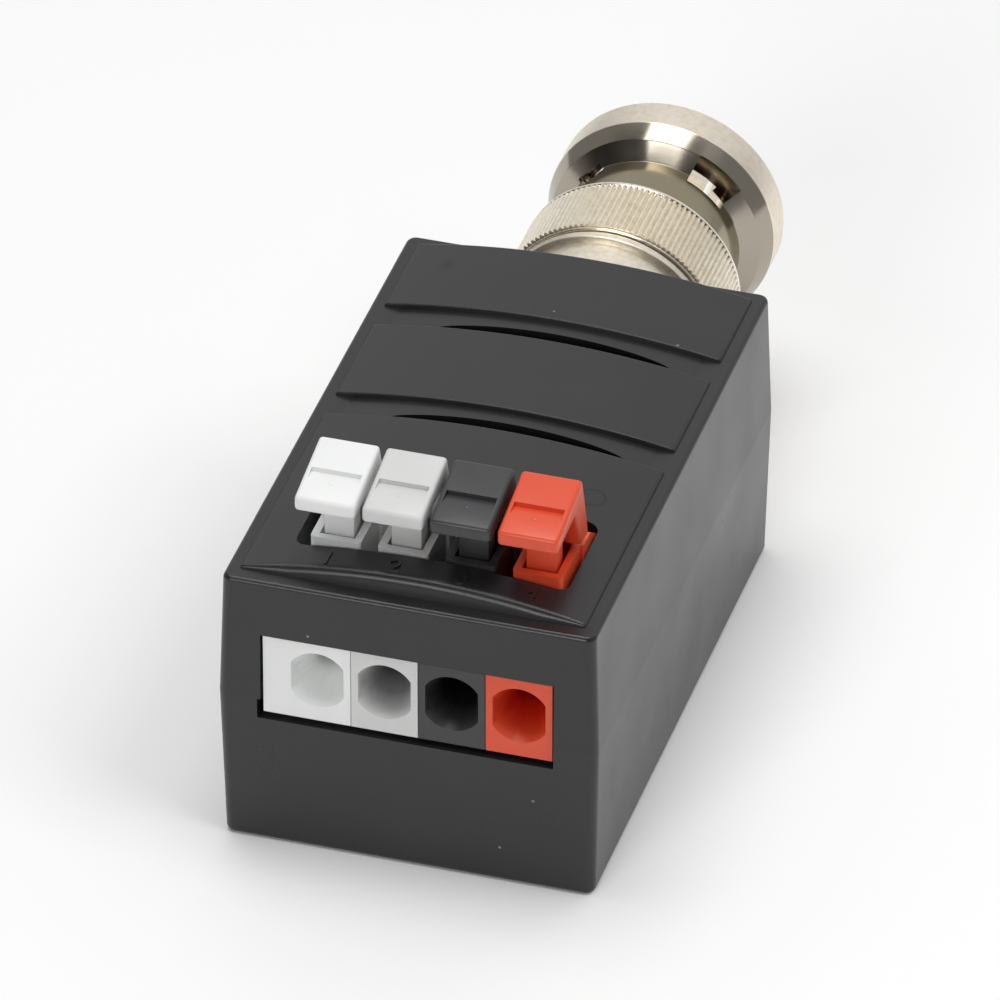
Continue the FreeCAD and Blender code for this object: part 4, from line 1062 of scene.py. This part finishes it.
@dataclass
class Box:
    """The two-part plastic box: crowned pads on its roof and the raised numerals before the levers."""

    finishes: Finishes
    roof: float = 18.0
    pad_top: float = 19.1
    pad_edge: float = 18.16
    pad_half_width: float = 10.26
    pads: tuple[tuple[float, float], ...] = ((-17.2, -1.1), (1.0, 8.5), (10.6, 17.35))
    edge_rounding: float = 0.22
    groove_edge_rounding: float = 0.08
    brow_rounding: float = 0.6
    brow_slope: float = 0.25
    groove_rise: float = 0.76
    slit: tuple[float, float] = (7.2, 0.95)
    slit_centre: float = 0.6
    slit_gap: float = 0.12
    slit_foot: float = 17.0
    root_depth: float = 0.5
    lap: float = 0.05
    least_rounding: float = 0.08
    knife_half: float = 30.0
    knife_top: float = 25.0
    knife_side: float = 20.0
    window: tuple[float, float, float, float] = (-7.825, 8.425, -14.85, -7.9)
    window_corner: float = 0.8
    skin: float = 0.004
    numeral_size: float = 1.75
    numeral_height: float = 0.1
    numeral_y: float = -16.6
    numeral_places: tuple[float, ...] = (-5.375, -1.375, 2.625, 6.625)

    def build(self) -> None:
        """Make the shells and the numerals."""
        carry(self.top_shell(), "housing", "top_shell")
        dress("bottom_shell", self.finishes.case)
        carry(self.numerals(), "housing")

    @property
    def through(self) -> tuple[float, float]:
        """Lowest and highest point of a knife that cuts through the roof."""
        return self.slit_foot, self.pad_top + CLEAR

    @property
    def crown_radius(self) -> float:
        """Radius of the pads' crown."""
        rise = self.pad_top - self.pad_edge
        return (self.pad_half_width ** 2 + rise ** 2) / (2 * rise)

    def crown(self, x: float) -> float:
        """Height of the pad's crown at a distance from its middle."""
        radius = self.crown_radius
        return self.pad_top - radius + math.sqrt(radius ** 2 - x ** 2)

    def top_shell(self) -> bpy.types.Object:
        """Level the CAD shell at its roof and set finely rounded pads and groove floors on it.

        Returns:
            The finished shell.
        """
        level = self.roof - self.skin
        half, top, side = self.knife_half, self.knife_top, self.knife_side
        knife = prism("above", [(-half, level), (half, level), (half, top), (-half, top)], -side, side)
        grooves = [(before[1], after[0]) for before, after in zip(self.pads, self.pads[1:])]
        slits = [self.slit_cutter(y0) for y0, _ in grooves]
        shell = cut_away(clean_copy("top_shell"), [knife] + slits)
        brow = self.pad(*self.pads[0], self.brow_rounding, self.brow_slope)
        pads = [cut_away(brow, [self.window_cutter()])]
        pads += [self.pad(y0, y1, self.groove_edge_rounding, 0.0) for y0, y1 in self.pads[1:]]
        floors = [cut_away(self.groove_floor(y0, y1), [self.slit_cutter(y0)]) for y0, y1 in grooves]
        made = gathered("top_shell_finished", [shell] + pads + floors)
        return evened(finished(made, self.finishes.case, 32))

    def pad(self, y0: float, y1: float, front_rounding: float, slope: float, steps: int = 8,
            stations: int = 96) -> bpy.types.Object:
        """Make one pad: crowned across, with every upper edge rounded.

        Args:
            y0: Its front.
            y1: Its rear.
            front_rounding: Rounding of its upper front edge.
            slope: How far its front wall leans back for each millimetre of height.
            steps: Steps across each rounding.
            stations: Steps across the pad.

        Returns:
            The pad as a closed object that starts inside the roof.
        """
        arc = [(1 - math.cos(math.pi / 2 * k / steps), 1 - math.sin(math.pi / 2 * k / steps))
               for k in range(steps + 1)]
        side = self.edge_rounding
        inner = self.pad_half_width - side
        left = [(-self.pad_half_width + side * along, side * drop) for along, drop in arc]
        middle = [(-inner + 2 * inner * k / stations, 0.0) for k in range(1, stations)]
        right = [(-x, drop) for x, drop in reversed(left)]
        foot = self.roof - self.root_depth
        loops = []
        for x, drop in left + middle + right:
            top = self.crown(x) - drop
            front = min(front_rounding, max(top - self.roof, self.least_rounding))
            lean = slope * max(top - front - self.roof, 0.0)
            loop = [(y0 - self.skin, foot), (y0 - self.skin, min(self.roof, top - front))]
            loop += [(y0 + lean + front * along, top - front * fall) for along, fall in arc]
            loop += [(y1 - side * along, top - side * fall) for along, fall in reversed(arc)]
            loop.append((y1, foot))
            loops.append([(x, y, z) for y, z in loop])
        return lofted("pad", loops)

    def groove_floor(self, y0: float, y1: float, stations: int = 96) -> bpy.types.Object:
        """Make the floor between two pads, crowned as they are but lower.

        Args:
            y0: Rear of the pad in front.
            y1: Front of the next pad.
            stations: Steps across the floor.

        Returns:
            The floor as a closed object.
        """
        radius = self.crown_radius
        lift = self.roof + self.groove_rise - radius
        reach = math.sqrt(radius ** 2 - (radius - self.groove_rise) ** 2)
        foot, front, rear = self.roof - self.root_depth, y0 - self.lap, y1 + self.lap
        loops = []
        for k in range(stations + 1):
            x = -reach + 2 * reach * k / stations
            top = max(lift + math.sqrt(radius ** 2 - x ** 2), self.roof)
            loops.append([(x, front, foot), (x, front, top), (x, rear, top), (x, rear, foot)])
        return lofted("floor_strip", loops)

    def slit_cutter(self, y: float, steps: int = 48) -> bpy.types.Object:
        """Make the lens-shaped cutter whose straight side runs along the pad in front."""
        half, bow = self.slit
        start = y + self.slit_gap
        across = [math.pi * k / steps for k in range(steps + 1)]
        lens = [(self.slit_centre + half * math.cos(a), start + bow * math.sin(a)) for a in across]
        return lofted("slit", [[(x, yy, z) for x, yy in lens] for z in self.through])

    def window_cutter(self, steps: int = 8) -> bpy.types.Object:
        """Make the rounded cutter that opens the front pad over the levers."""
        x0, x1, y0, y1 = self.window
        inset = self.window_corner
        corners = ((x1 - inset, y1 - inset, 0), (x0 + inset, y1 - inset, 1),
                   (x0 + inset, y0 + inset, 2), (x1 - inset, y0 + inset, 3))
        reach = inset - self.skin
        outline = [(cx + reach * math.cos(math.pi / 2 * (turn + k / steps)),
                    cy + reach * math.sin(math.pi / 2 * (turn + k / steps)))
                   for cx, cy, turn in corners for k in range(steps + 1)]
        return lofted("window", [[(x, y, z) for x, y in outline] for z in self.through])

    def numerals(self) -> bpy.types.Object:
        """Make the plain raised numerals 1 to 4 in front of the levers.

        Returns:
            One object with all four numerals bent to the pad's crown.
        """
        work = bmesh.new()
        for number, x in enumerate(self.numeral_places, start=1):
            text = bpy.data.curves.new("numeral", "FONT")
            text.body = str(number)
            text.size = self.numeral_size * MM
            text.align_x = "CENTER"
            text.extrude = self.numeral_height * MM
            text.resolution_u = 6
            holder = bpy.data.objects.new("numeral", text)
            bpy.context.scene.collection.objects.link(holder)
            graph = bpy.context.evaluated_depsgraph_get()
            mesh = bpy.data.meshes.new_from_object(holder.evaluated_get(graph))
            mesh.transform(Matrix.Translation(Vector((x, self.numeral_y, 0)) * MM))
            work.from_mesh(mesh)
            bpy.data.objects.remove(holder)
        for vert in work.verts:
            vert.co.z += self.crown(vert.co.x / MM) * MM
        return finished(from_work("pad_numerals", work, False), self.finishes.case)


@dataclass
class PushLever:
    """One push lever: finger plate, arm, neck into the cup and the pivot between the cheeks."""

    centre: float
    half_width: float = 1.8
    front: float = -16.65
    back: float = -11.65
    underside: float = 22.2
    thickness: float = 0.95
    rise: float = 1.0
    foot: float = 19.7
    arm_front: float = -11.9
    arm_rear: float = -10.4
    rounding: float = 0.24
    grip_inset: float = 0.3
    grip_step: float = 0.3
    grip_ramp: float = 1.0
    pivot: tuple[float, float] = (-9.8, 17.6)
    neck: tuple[float, float] = (-13.85, -12.55)
    neck_half_width: float = 0.9
    neck_foot: float = 14.2
    hub_radius: float = 0.95
    hub_half_width: float = 1.15
    pin_radius: float = 0.6
    pin_half_width: float = 1.65
    dot_radius: float = 0.16
    dot_place: float = 1.5
    dot_rings: tuple[tuple[float, float], ...] = ((1.0, -0.05), (1.0, 0.015), (0.7, 0.03))
    root_run: float = 1.5
    root_rise: float = 0.35
    hub_reach: float = 0.67
    web_rounding: float = 0.08
    shaft_rounding: float = 0.05

    def build(self, name: str) -> bpy.types.Object:
        """Make the lever.

        Args:
            name: The object's name.

        Returns:
            The lever as one object.
        """
        return gathered(name, [self.head(), self.web(), self.shaft(self.hub_radius, self.hub_half_width),
                               self.shaft(self.pin_radius, self.pin_half_width), self.gate_dot()])

    def head(self) -> bpy.types.Object:
        """Make the finger plate and the arm, with the grip step cut across the plate."""
        top = self.underside + self.thickness
        outline = [(self.front, self.underside), (self.front, top), (self.back, top + self.rise),
                   (self.back + self.thickness / 2, self.underside + self.thickness / 2),
                   (self.arm_rear, self.foot), (self.arm_front, self.foot),
                   (self.back - self.root_run, self.underside + self.root_rise)]
        plate = softened(prism("plate", outline, self.centre - self.half_width,
                               self.centre + self.half_width), self.rounding, 4)
        slope = self.rise / (self.back - self.front)
        middle = (self.front + self.back) / 2
        level = top + self.rise / 2
        step = [(middle, level - self.grip_step), (middle, level + CLEAR),
                (middle - self.grip_ramp, level + CLEAR),
                (middle - self.grip_ramp, level - slope * self.grip_ramp)]
        half = self.half_width - self.grip_inset
        knife = prism("grip", step, self.centre - half, self.centre + half)
        return cut_away(plate, [knife])

    def web(self) -> bpy.types.Object:
        """Make the narrow neck and the web that joins it to the arm and the pivot."""
        inside = self.underside + self.thickness / 2
        near, far = self.neck
        py, pz = self.pivot
        top = self.foot + self.thickness / 2
        outline = [(near, inside), (near, self.neck_foot), (far, self.neck_foot), (far, top),
                   (self.arm_front, top), (py - self.hub_reach, pz + self.hub_reach),
                   (py + self.hub_reach, pz + self.hub_reach),
                   (self.arm_rear, top), (self.back - self.thickness, inside)]
        return softened(prism("web", outline, self.centre - self.neck_half_width,
                              self.centre + self.neck_half_width), self.web_rounding, 2)

    def shaft(self, radius: float, half_width: float, sides: int = 40) -> bpy.types.Object:
        """Make a round bar across the pivot."""
        py, pz = self.pivot
        outline = [(py + radius * math.cos(2 * math.pi * k / sides),
                    pz + radius * math.sin(2 * math.pi * k / sides)) for k in range(sides)]
        return softened(prism("shaft", outline, self.centre - half_width, self.centre + half_width),
                        self.shaft_rounding, 2, 60)

    def gate_dot(self, sides: int = 20) -> bpy.types.Object:
        """Make the small flat nub that the mould's gate leaves on the front facet."""
        slope = self.rise / (self.back - self.front)
        y = self.front + self.dot_place
        z = self.underside + self.thickness + slope * self.dot_place
        turns = [2 * math.pi * k / sides for k in range(sides)]
        loops = []
        for share, lift in self.dot_rings:
            radius = self.dot_radius * share
            loops.append([(self.centre + radius * math.cos(a), y + radius * math.sin(a),
                           z + lift + slope * radius * math.sin(a)) for a in turns])
        return lofted("gate_dot", loops)


@dataclass
class Terminals:
    """The four terminal modules with their push levers, contacts and clamp springs."""

    finishes: Finishes
    body_rounding: float = 0.08
    first_centre: float = -5.375
    pitch: float = 4.0

    def build(self) -> None:
        """Finish every module."""
        for hue in Hue:
            plastic = self.finishes.modules[hue]
            body = "terminal_body_" + hue.value
            soft = softened(clean_copy(body), self.body_rounding, 2, 40)
            carry(evened(finished(soft, plastic)), "housing", body)
            lever = PushLever(self.first_centre + hue.place * self.pitch)
            node = "lever_" + hue.value
            carry(finished(lever.build(node + "_finished"), plastic, 40), node, node)
            dress("contact_" + hue.value, self.finishes.tin)
            dress("clamp_spring_" + hue.value, self.finishes.steel)


def dress(node: str, material: bpy.types.Material) -> None:
    """Give a CAD node that keeps its shape a better material."""
    slots = frame["nodes"][node].material_slots
    for slot in slots:
        slot.material = material
    LOG.info("%s keeps its form", node)


@dataclass
class Plug:
    """The bayonet coaxial plug: body, collar, slit sleeve, pin, gasket and coupling nut."""

    finishes: Finishes
    axis: PlugAxis = field(default_factory=PlugAxis)
    knurl_radius: float = 6.8
    knurl_start: float = 3.85
    knurl_end: float = 9.2
    knurl_depth: float = 0.17
    ridges: int = 120
    waist_radius: float = 5.4
    flare_start: float = 13.3
    flare_middle: tuple[float, float] = (6.5, 14.0)
    rim_radius: float = 7.05
    rim_start: float = 15.1
    rim_end: float = 17.4
    nut_bore: float = 4.95
    lip_bore: float = 4.25
    lip_end: float = 5.0
    track_radius: float = 5.32
    detent_radius: float = 5.62
    track_half_width: float = 1.1
    detent_half_width: float = 0.95
    track_entry: float = 51.0
    track_turn: float = 85.0
    track_advance: float = 1.6
    track_steps: int = 24
    bore_overlap: float = 0.5
    window: tuple[float, float, float] = (1.55, 12.75, 14.1)
    nut_travel: float = 0.9
    knurl_inset: float = 0.2
    knurl_bands: float = 0.9
    foot_share: float = 0.97
    crest_share: float = 0.3
    slit_half_width: float = 0.175
    slit_path: tuple[float, float] = (10.2, 17.0)
    collar_corners: tuple[Corner, ...] = (
        (4.2, 0.05, 0.0), (6.1, 0.05, 0.1), (6.1, 3.13, 0.05), (6.5, 3.13, 0.12), (6.5, 3.73, 0.12),
        (4.2, 3.73, 0.0))
    sleeve_corners: tuple[Corner, ...] = (
        (3.65, 8.72, 0.0), (4.05, 8.72, 0.0), (4.05, 16.2, 0.18), (3.65, 16.2, 0.05))
    insulator_corners: tuple[Corner, ...] = (
        (0.675, -3.19, 0.0), (3.35, -3.19, 0.1), (3.35, 8.7, 0.0), (3.6, 8.7, 0.0), (3.6, 9.9, 0.12),
        (0.675, 9.9, 0.06))
    gasket_corners: tuple[Corner, ...] = (
        (4.05, 8.72, 0.1), (4.8, 8.72, 0.1), (4.8, 9.62, 0.22), (4.05, 9.62, 0.22))

    def build(self) -> None:
        """Turn every piece of the plug."""
        carry(self.nut(), "coupling_nut", "coupling_nut")
        carry(self.knurl(), "coupling_nut")
        carry(self.collar(), "housing", "plug_collar")
        carry(self.sleeve(), "housing", "contact_sleeve")
        carry(self.insulator(), "housing", "insulator")
        carry(self.gasket(), "housing", "gasket")
        dress("plug_body", self.finishes.nickel)
        dress("thrust_washer", self.finishes.nickel)
        self.wave_washer()
        dress("centre_pin", self.finishes.tin)

    def nut(self) -> bpy.types.Object:
        """Turn the coupling nut and cut its two bayonet tracks and windows.

        Returns:
            The nut without its knurl.
        """
        root = self.knurl_radius - self.knurl_depth
        flare_r, flare_y = self.flare_middle
        profile = rounded_profile([
            (self.lip_bore, self.knurl_start, 0.08), (self.knurl_radius - 0.25, self.knurl_start, 0.06),
            (root, self.knurl_start + 0.22, 0.0), (root, self.knurl_end - 0.72, 0.05),
            (self.knurl_radius, self.knurl_end - 0.66, 0.04),
            (self.knurl_radius - 0.02, self.knurl_end - 0.42, 0.2),
            (self.knurl_radius - 0.45, self.knurl_end, 0.06),
            (self.waist_radius, self.knurl_end, 0.15), (self.waist_radius, self.flare_start, 0.12),
            (flare_r, flare_y, 0.1), (self.rim_radius, self.rim_start, 0.06),
            (self.rim_radius, self.rim_end, 0.22), (self.nut_bore + 0.35, self.rim_end, 0.1),
            (self.nut_bore, self.rim_end - 0.5, 0.1), (self.nut_bore, self.lip_end, 0.0),
            (self.lip_bore, self.lip_end, 0.05)])
        nut = self.axis.turned("coupling_nut_turned", profile, 240)
        cutters = []
        start = flare_y + self.track_half_width
        low, high = self.nut_bore - self.bore_overlap, self.track_radius
        for side in (0.0, 180.0):
            entry = self.track_entry + side
            path = [(entry + self.track_turn * k / self.track_steps,
                     start - self.track_advance * k / self.track_steps)
                    for k in range(self.track_steps + 1)]
            cutters.append(self.axis.sector_cutter("track", path, self.track_half_width, low, high))
            for angle, y in (path[0], path[-1]):
                cutters.append(self.axis.peg_cutter("peg", angle, y, self.track_half_width, low, high))
            cutters.append(self.axis.peg_cutter("detent", *path[-1], self.detent_half_width, low,
                                                self.detent_radius))
            mouth = [(entry, start), (entry, self.rim_end + CLEAR)]
            cutters.append(self.axis.sector_cutter("mouth", mouth, self.track_half_width, low, high))
            half, near, far = self.window
            opening = [(entry, near), (entry, far)]
            cutters.append(self.axis.sector_cutter("window", opening, half, low,
                                                   self.rim_radius + CLEAR))
        return evened(finished(cut_away(nut, cutters), self.finishes.nickel, 30))

    def knurl(self) -> bpy.types.Object:
        """Stand the finger ridges round the nut.

        Returns:
            The ridges as one object.
        """
        root = self.knurl_radius - self.knurl_depth
        pitch = 2 * math.pi * root / self.ridges
        made = knurl_tree().bake("coupling_nut_knurl", {
            "Ridges": self.ridges, "Radius": (root + self.knurl_depth / 2) * MM,
            "Start": (self.axis.back_face + self.knurl_start + self.knurl_inset) * MM,
            "Length": (self.knurl_end - self.knurl_start - self.knurl_bands) * MM,
            "Foot Width": pitch * self.foot_share * MM, "Crest Width": pitch * self.crest_share * MM,
            "Depth": self.knurl_depth * MM, "Axis Height": self.axis.height * MM,
            "Material": self.finishes.knurl})
        return finished(made, self.finishes.knurl, 25)

    def collar(self) -> bpy.types.Object:
        """Turn the pressed collar with its thin outer ring."""
        profile = rounded_profile(self.collar_corners)
        return evened(finished(self.axis.turned("plug_collar_turned", profile), self.finishes.knurl, 30))

    def sleeve(self) -> bpy.types.Object:
        """Turn the outer contact sleeve and saw its four slits."""
        profile = rounded_profile(self.sleeve_corners)
        sleeve = self.axis.turned("contact_sleeve_turned", profile, 160)
        start, end = self.slit_path
        cutters = [self.axis.sector_cutter("slit", [(angle, start), (angle, end)],
                                           self.slit_half_width, 3.0, 5.0)
                   for angle in (45.0, 135.0, 225.0, 315.0)]
        return finished(cut_away(sleeve, cutters), self.finishes.nickel, 30)

    def insulator(self) -> bpy.types.Object:
        """Turn the waxy insulator round the centre pin."""
        profile = rounded_profile(self.insulator_corners)
        return finished(self.axis.turned("insulator_turned", profile, 128), self.finishes.insulator)

    def wave_washer(self) -> None:
        """Copy the spring washer with its faces joined and let it ride on the housing."""
        made = finished(clean_copy("wave_washer"), self.finishes.steel)
        carry(made, "housing", "wave_washer")
        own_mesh(made)

    def gasket(self) -> bpy.types.Object:
        """Turn the soft sealing ring with rounded edges."""
        profile = rounded_profile(self.gasket_corners)
        return finished(self.axis.turned("gasket_turned", profile, 128), self.finishes.rubber)


@dataclass
class Electronics:
    """The board and the parts soldered to it, all inside the closed box."""

    finishes: Finishes
    turns: int = 24
    hole_radius: float = 2.2
    wire_share: float = 0.9

    def build(self) -> None:
        """Dress the board and its parts and wind the transformer."""
        dress("circuit_board", self.finishes.board)
        dress("transformer_core", self.finishes.ferrite)
        for node in ("surge_suppressor_1", "surge_suppressor_2", "chip_resistor", "chip_capacitor"):
            dress(node, self.finishes.chip)
        carry(self.winding(), "housing", "transformer_winding")

    def winding(self) -> bpy.types.Object:
        """Wrap the wire turns round the core, inside the CAD winding's own box."""
        low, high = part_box("transformer_winding")
        core_low, core_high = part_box("transformer_core")
        wire = (high.z - core_high.z) / 2
        outer = (high.x - low.x) / 2 - wire
        inner = self.hole_radius * MM - wire
        made = winding_tree().bake("transformer_turns", {
            "Turns": self.turns, "Middle Radius": (outer + inner) / 2, "Width": outer - inner,
            "Height": high.z - low.z - 2 * wire, "Wire Radius": wire * self.wire_share,
            "Centre": Vector(((low.x + high.x) / 2, (low.y + high.y) / 2, (low.z + high.z) / 2)),
            "Material": self.finishes.enamel})
        return finished(made, self.finishes.enamel)


@dataclass(frozen=True)
class Softbox:
    """One square soft lamp that points at the box."""

    name: str
    place: Corner
    size: float
    power: float
    mirrored: bool = True
    aim: Corner = (0, 0, 10)

    def hang(self) -> None:
        """Hang the lamp."""
        data = bpy.data.lights.new(self.name, "AREA")
        data.shape = "SQUARE"
        data.size = self.size * MM
        data.energy = self.power
        holder = bpy.data.objects.new(self.name, data)
        holder.visible_glossy = self.mirrored
        bpy.context.scene.collection.objects.link(holder)
        turned_to(holder, self.place, self.aim)


def turned_to(holder: bpy.types.Object, place: Corner, aim: Corner) -> None:
    """Place a lamp or camera and turn it to look at a point, both in millimetres."""
    holder.location = Vector(place) * MM
    look = (Vector(aim) - Vector(place)).normalized()
    holder.rotation_mode = "QUATERNION"
    holder.rotation_quaternion = look.to_track_quat("-Z", "Y")


@dataclass
class Studio:
    """Camera, floor, world and soft lamps."""

    position: tuple[float, float, float] = (180.5, -600.7, 449.9)
    target: tuple[float, float, float] = (-1.34, 4.52, 10.0)
    lens: float = 475.2
    floor_size: float = 0.15
    dark_side: tuple[float, float, float] = (-0.15, -0.75, 0.64)
    bright: float = 0.74
    dark: float = 0.12
    flank: float = 0.45
    front_fade: tuple[float, float] = (0.35, 0.7)
    flank_fade: tuple[float, float] = (0.45, 0.75)
    floor_tone: Tone = (0.97, 0.97, 0.97, 1.0)
    lamps: tuple[Softbox, ...] = (
        Softbox("key", (-86, -535, 262), 240, 1.0), Softbox("top", (-60, 24, 604), 360, 1.58),
        Softbox("fill", (330, -60, 480), 300, 0.85, mirrored=False))

    def build(self) -> None:
        """Set up the studio."""
        self.camera()
        self.floor()
        self.world()
        for lamp in self.lamps:
            lamp.hang()
        bpy.context.scene.view_settings.view_transform = "Standard"

    def camera(self) -> None:
        """Place the camera at the photograph's viewing angle."""
        data = bpy.data.cameras.new("camera")
        data.lens = self.lens
        data.sensor_width = 36.0
        data.clip_start = 0.01
        data.clip_end = 50.0
        holder = bpy.data.objects.new("camera", data)
        bpy.context.scene.collection.objects.link(holder)
        turned_to(holder, self.position, self.target)
        bpy.context.scene.camera = holder

    def floor(self) -> None:
        """Lay a plain pale floor under the box."""
        work = bmesh.new()
        bmesh.ops.create_grid(work, x_segments=1, y_segments=1, size=self.floor_size)
        made = from_work("floor", work, False)
        sheet = Sheet("pale_floor")
        sheet.bsdf.inputs["Base Color"].default_value = self.floor_tone
        sheet.bsdf.inputs["Roughness"].default_value = 0.8
        sheet.bsdf.inputs["Specular IOR Level"].default_value = 0.1
        made.data.materials.append(sheet.material)

    def world(self) -> None:
        """Light the scene from the back and round the horizon, darker above, in front and aside."""
        world = bpy.data.worlds.new("studio")
        bpy.context.scene.world = world
        world.use_nodes = True
        tree = world.node_tree
        background = tree.nodes["Background"]
        where = tree.nodes.new("ShaderNodeTexCoord").outputs["Generated"]
        toward = tree.nodes.new("ShaderNodeVectorMath")
        toward.operation = "DOT_PRODUCT"
        toward.inputs[1].default_value = Vector(self.dark_side).normalized()
        tree.links.new(where, toward.inputs[0])
        parts = tree.nodes.new("ShaderNodeSeparateXYZ")
        tree.links.new(where, parts.inputs[0])
        aside = GROUPS.worked(tree, "ABSOLUTE", parts.outputs["X"])
        front = self.fade(tree, toward.outputs["Value"], *self.front_fade, self.dark)
        flanks = self.fade(tree, aside, *self.flank_fade, self.flank)
        level = GROUPS.worked(tree, "MULTIPLY", GROUPS.worked(tree, "MULTIPLY", front, flanks),
                              self.bright)
        seen = tree.nodes.new("ShaderNodeLightPath").outputs["Is Camera Ray"]
        tree.links.new(GROUPS.worked(tree, "MAXIMUM", level, seen), background.inputs["Strength"])
        background.inputs["Color"].default_value = (1.0, 1.0, 1.0, 1.0)

    @staticmethod
    def fade(tree: bpy.types.NodeTree, value: bpy.types.NodeSocket, start: float, end: float,
             low: float) -> bpy.types.NodeSocket:
        """Fade softly from 1 down to a low level as a value rises.

        Args:
            tree: The world's node tree.
            value: The value.
            start: Where the fade starts.
            end: Where it ends.
            low: The level at its end.

        Returns:
            The faded level.
        """
        zone = tree.nodes.new("ShaderNodeMapRange")
        zone.interpolation_type = "SMOOTHSTEP"
        zone.inputs["From Min"].default_value = start
        zone.inputs["From Max"].default_value = end
        zone.inputs["To Min"].default_value = 1.0
        zone.inputs["To Max"].default_value = low
        tree.links.new(value, zone.inputs["Value"])
        return zone.outputs["Result"]


def main() -> None:
    """Build the dressed balun and its studio."""
    logging.basicConfig(level=logging.INFO, format="%(name)s: %(message)s")
    finishes = Finishes()
    for part in (Box(finishes), Terminals(finishes), Plug(finishes), Electronics(finishes), Studio()):
        part.build()


if __name__ == "__main__":
    main()
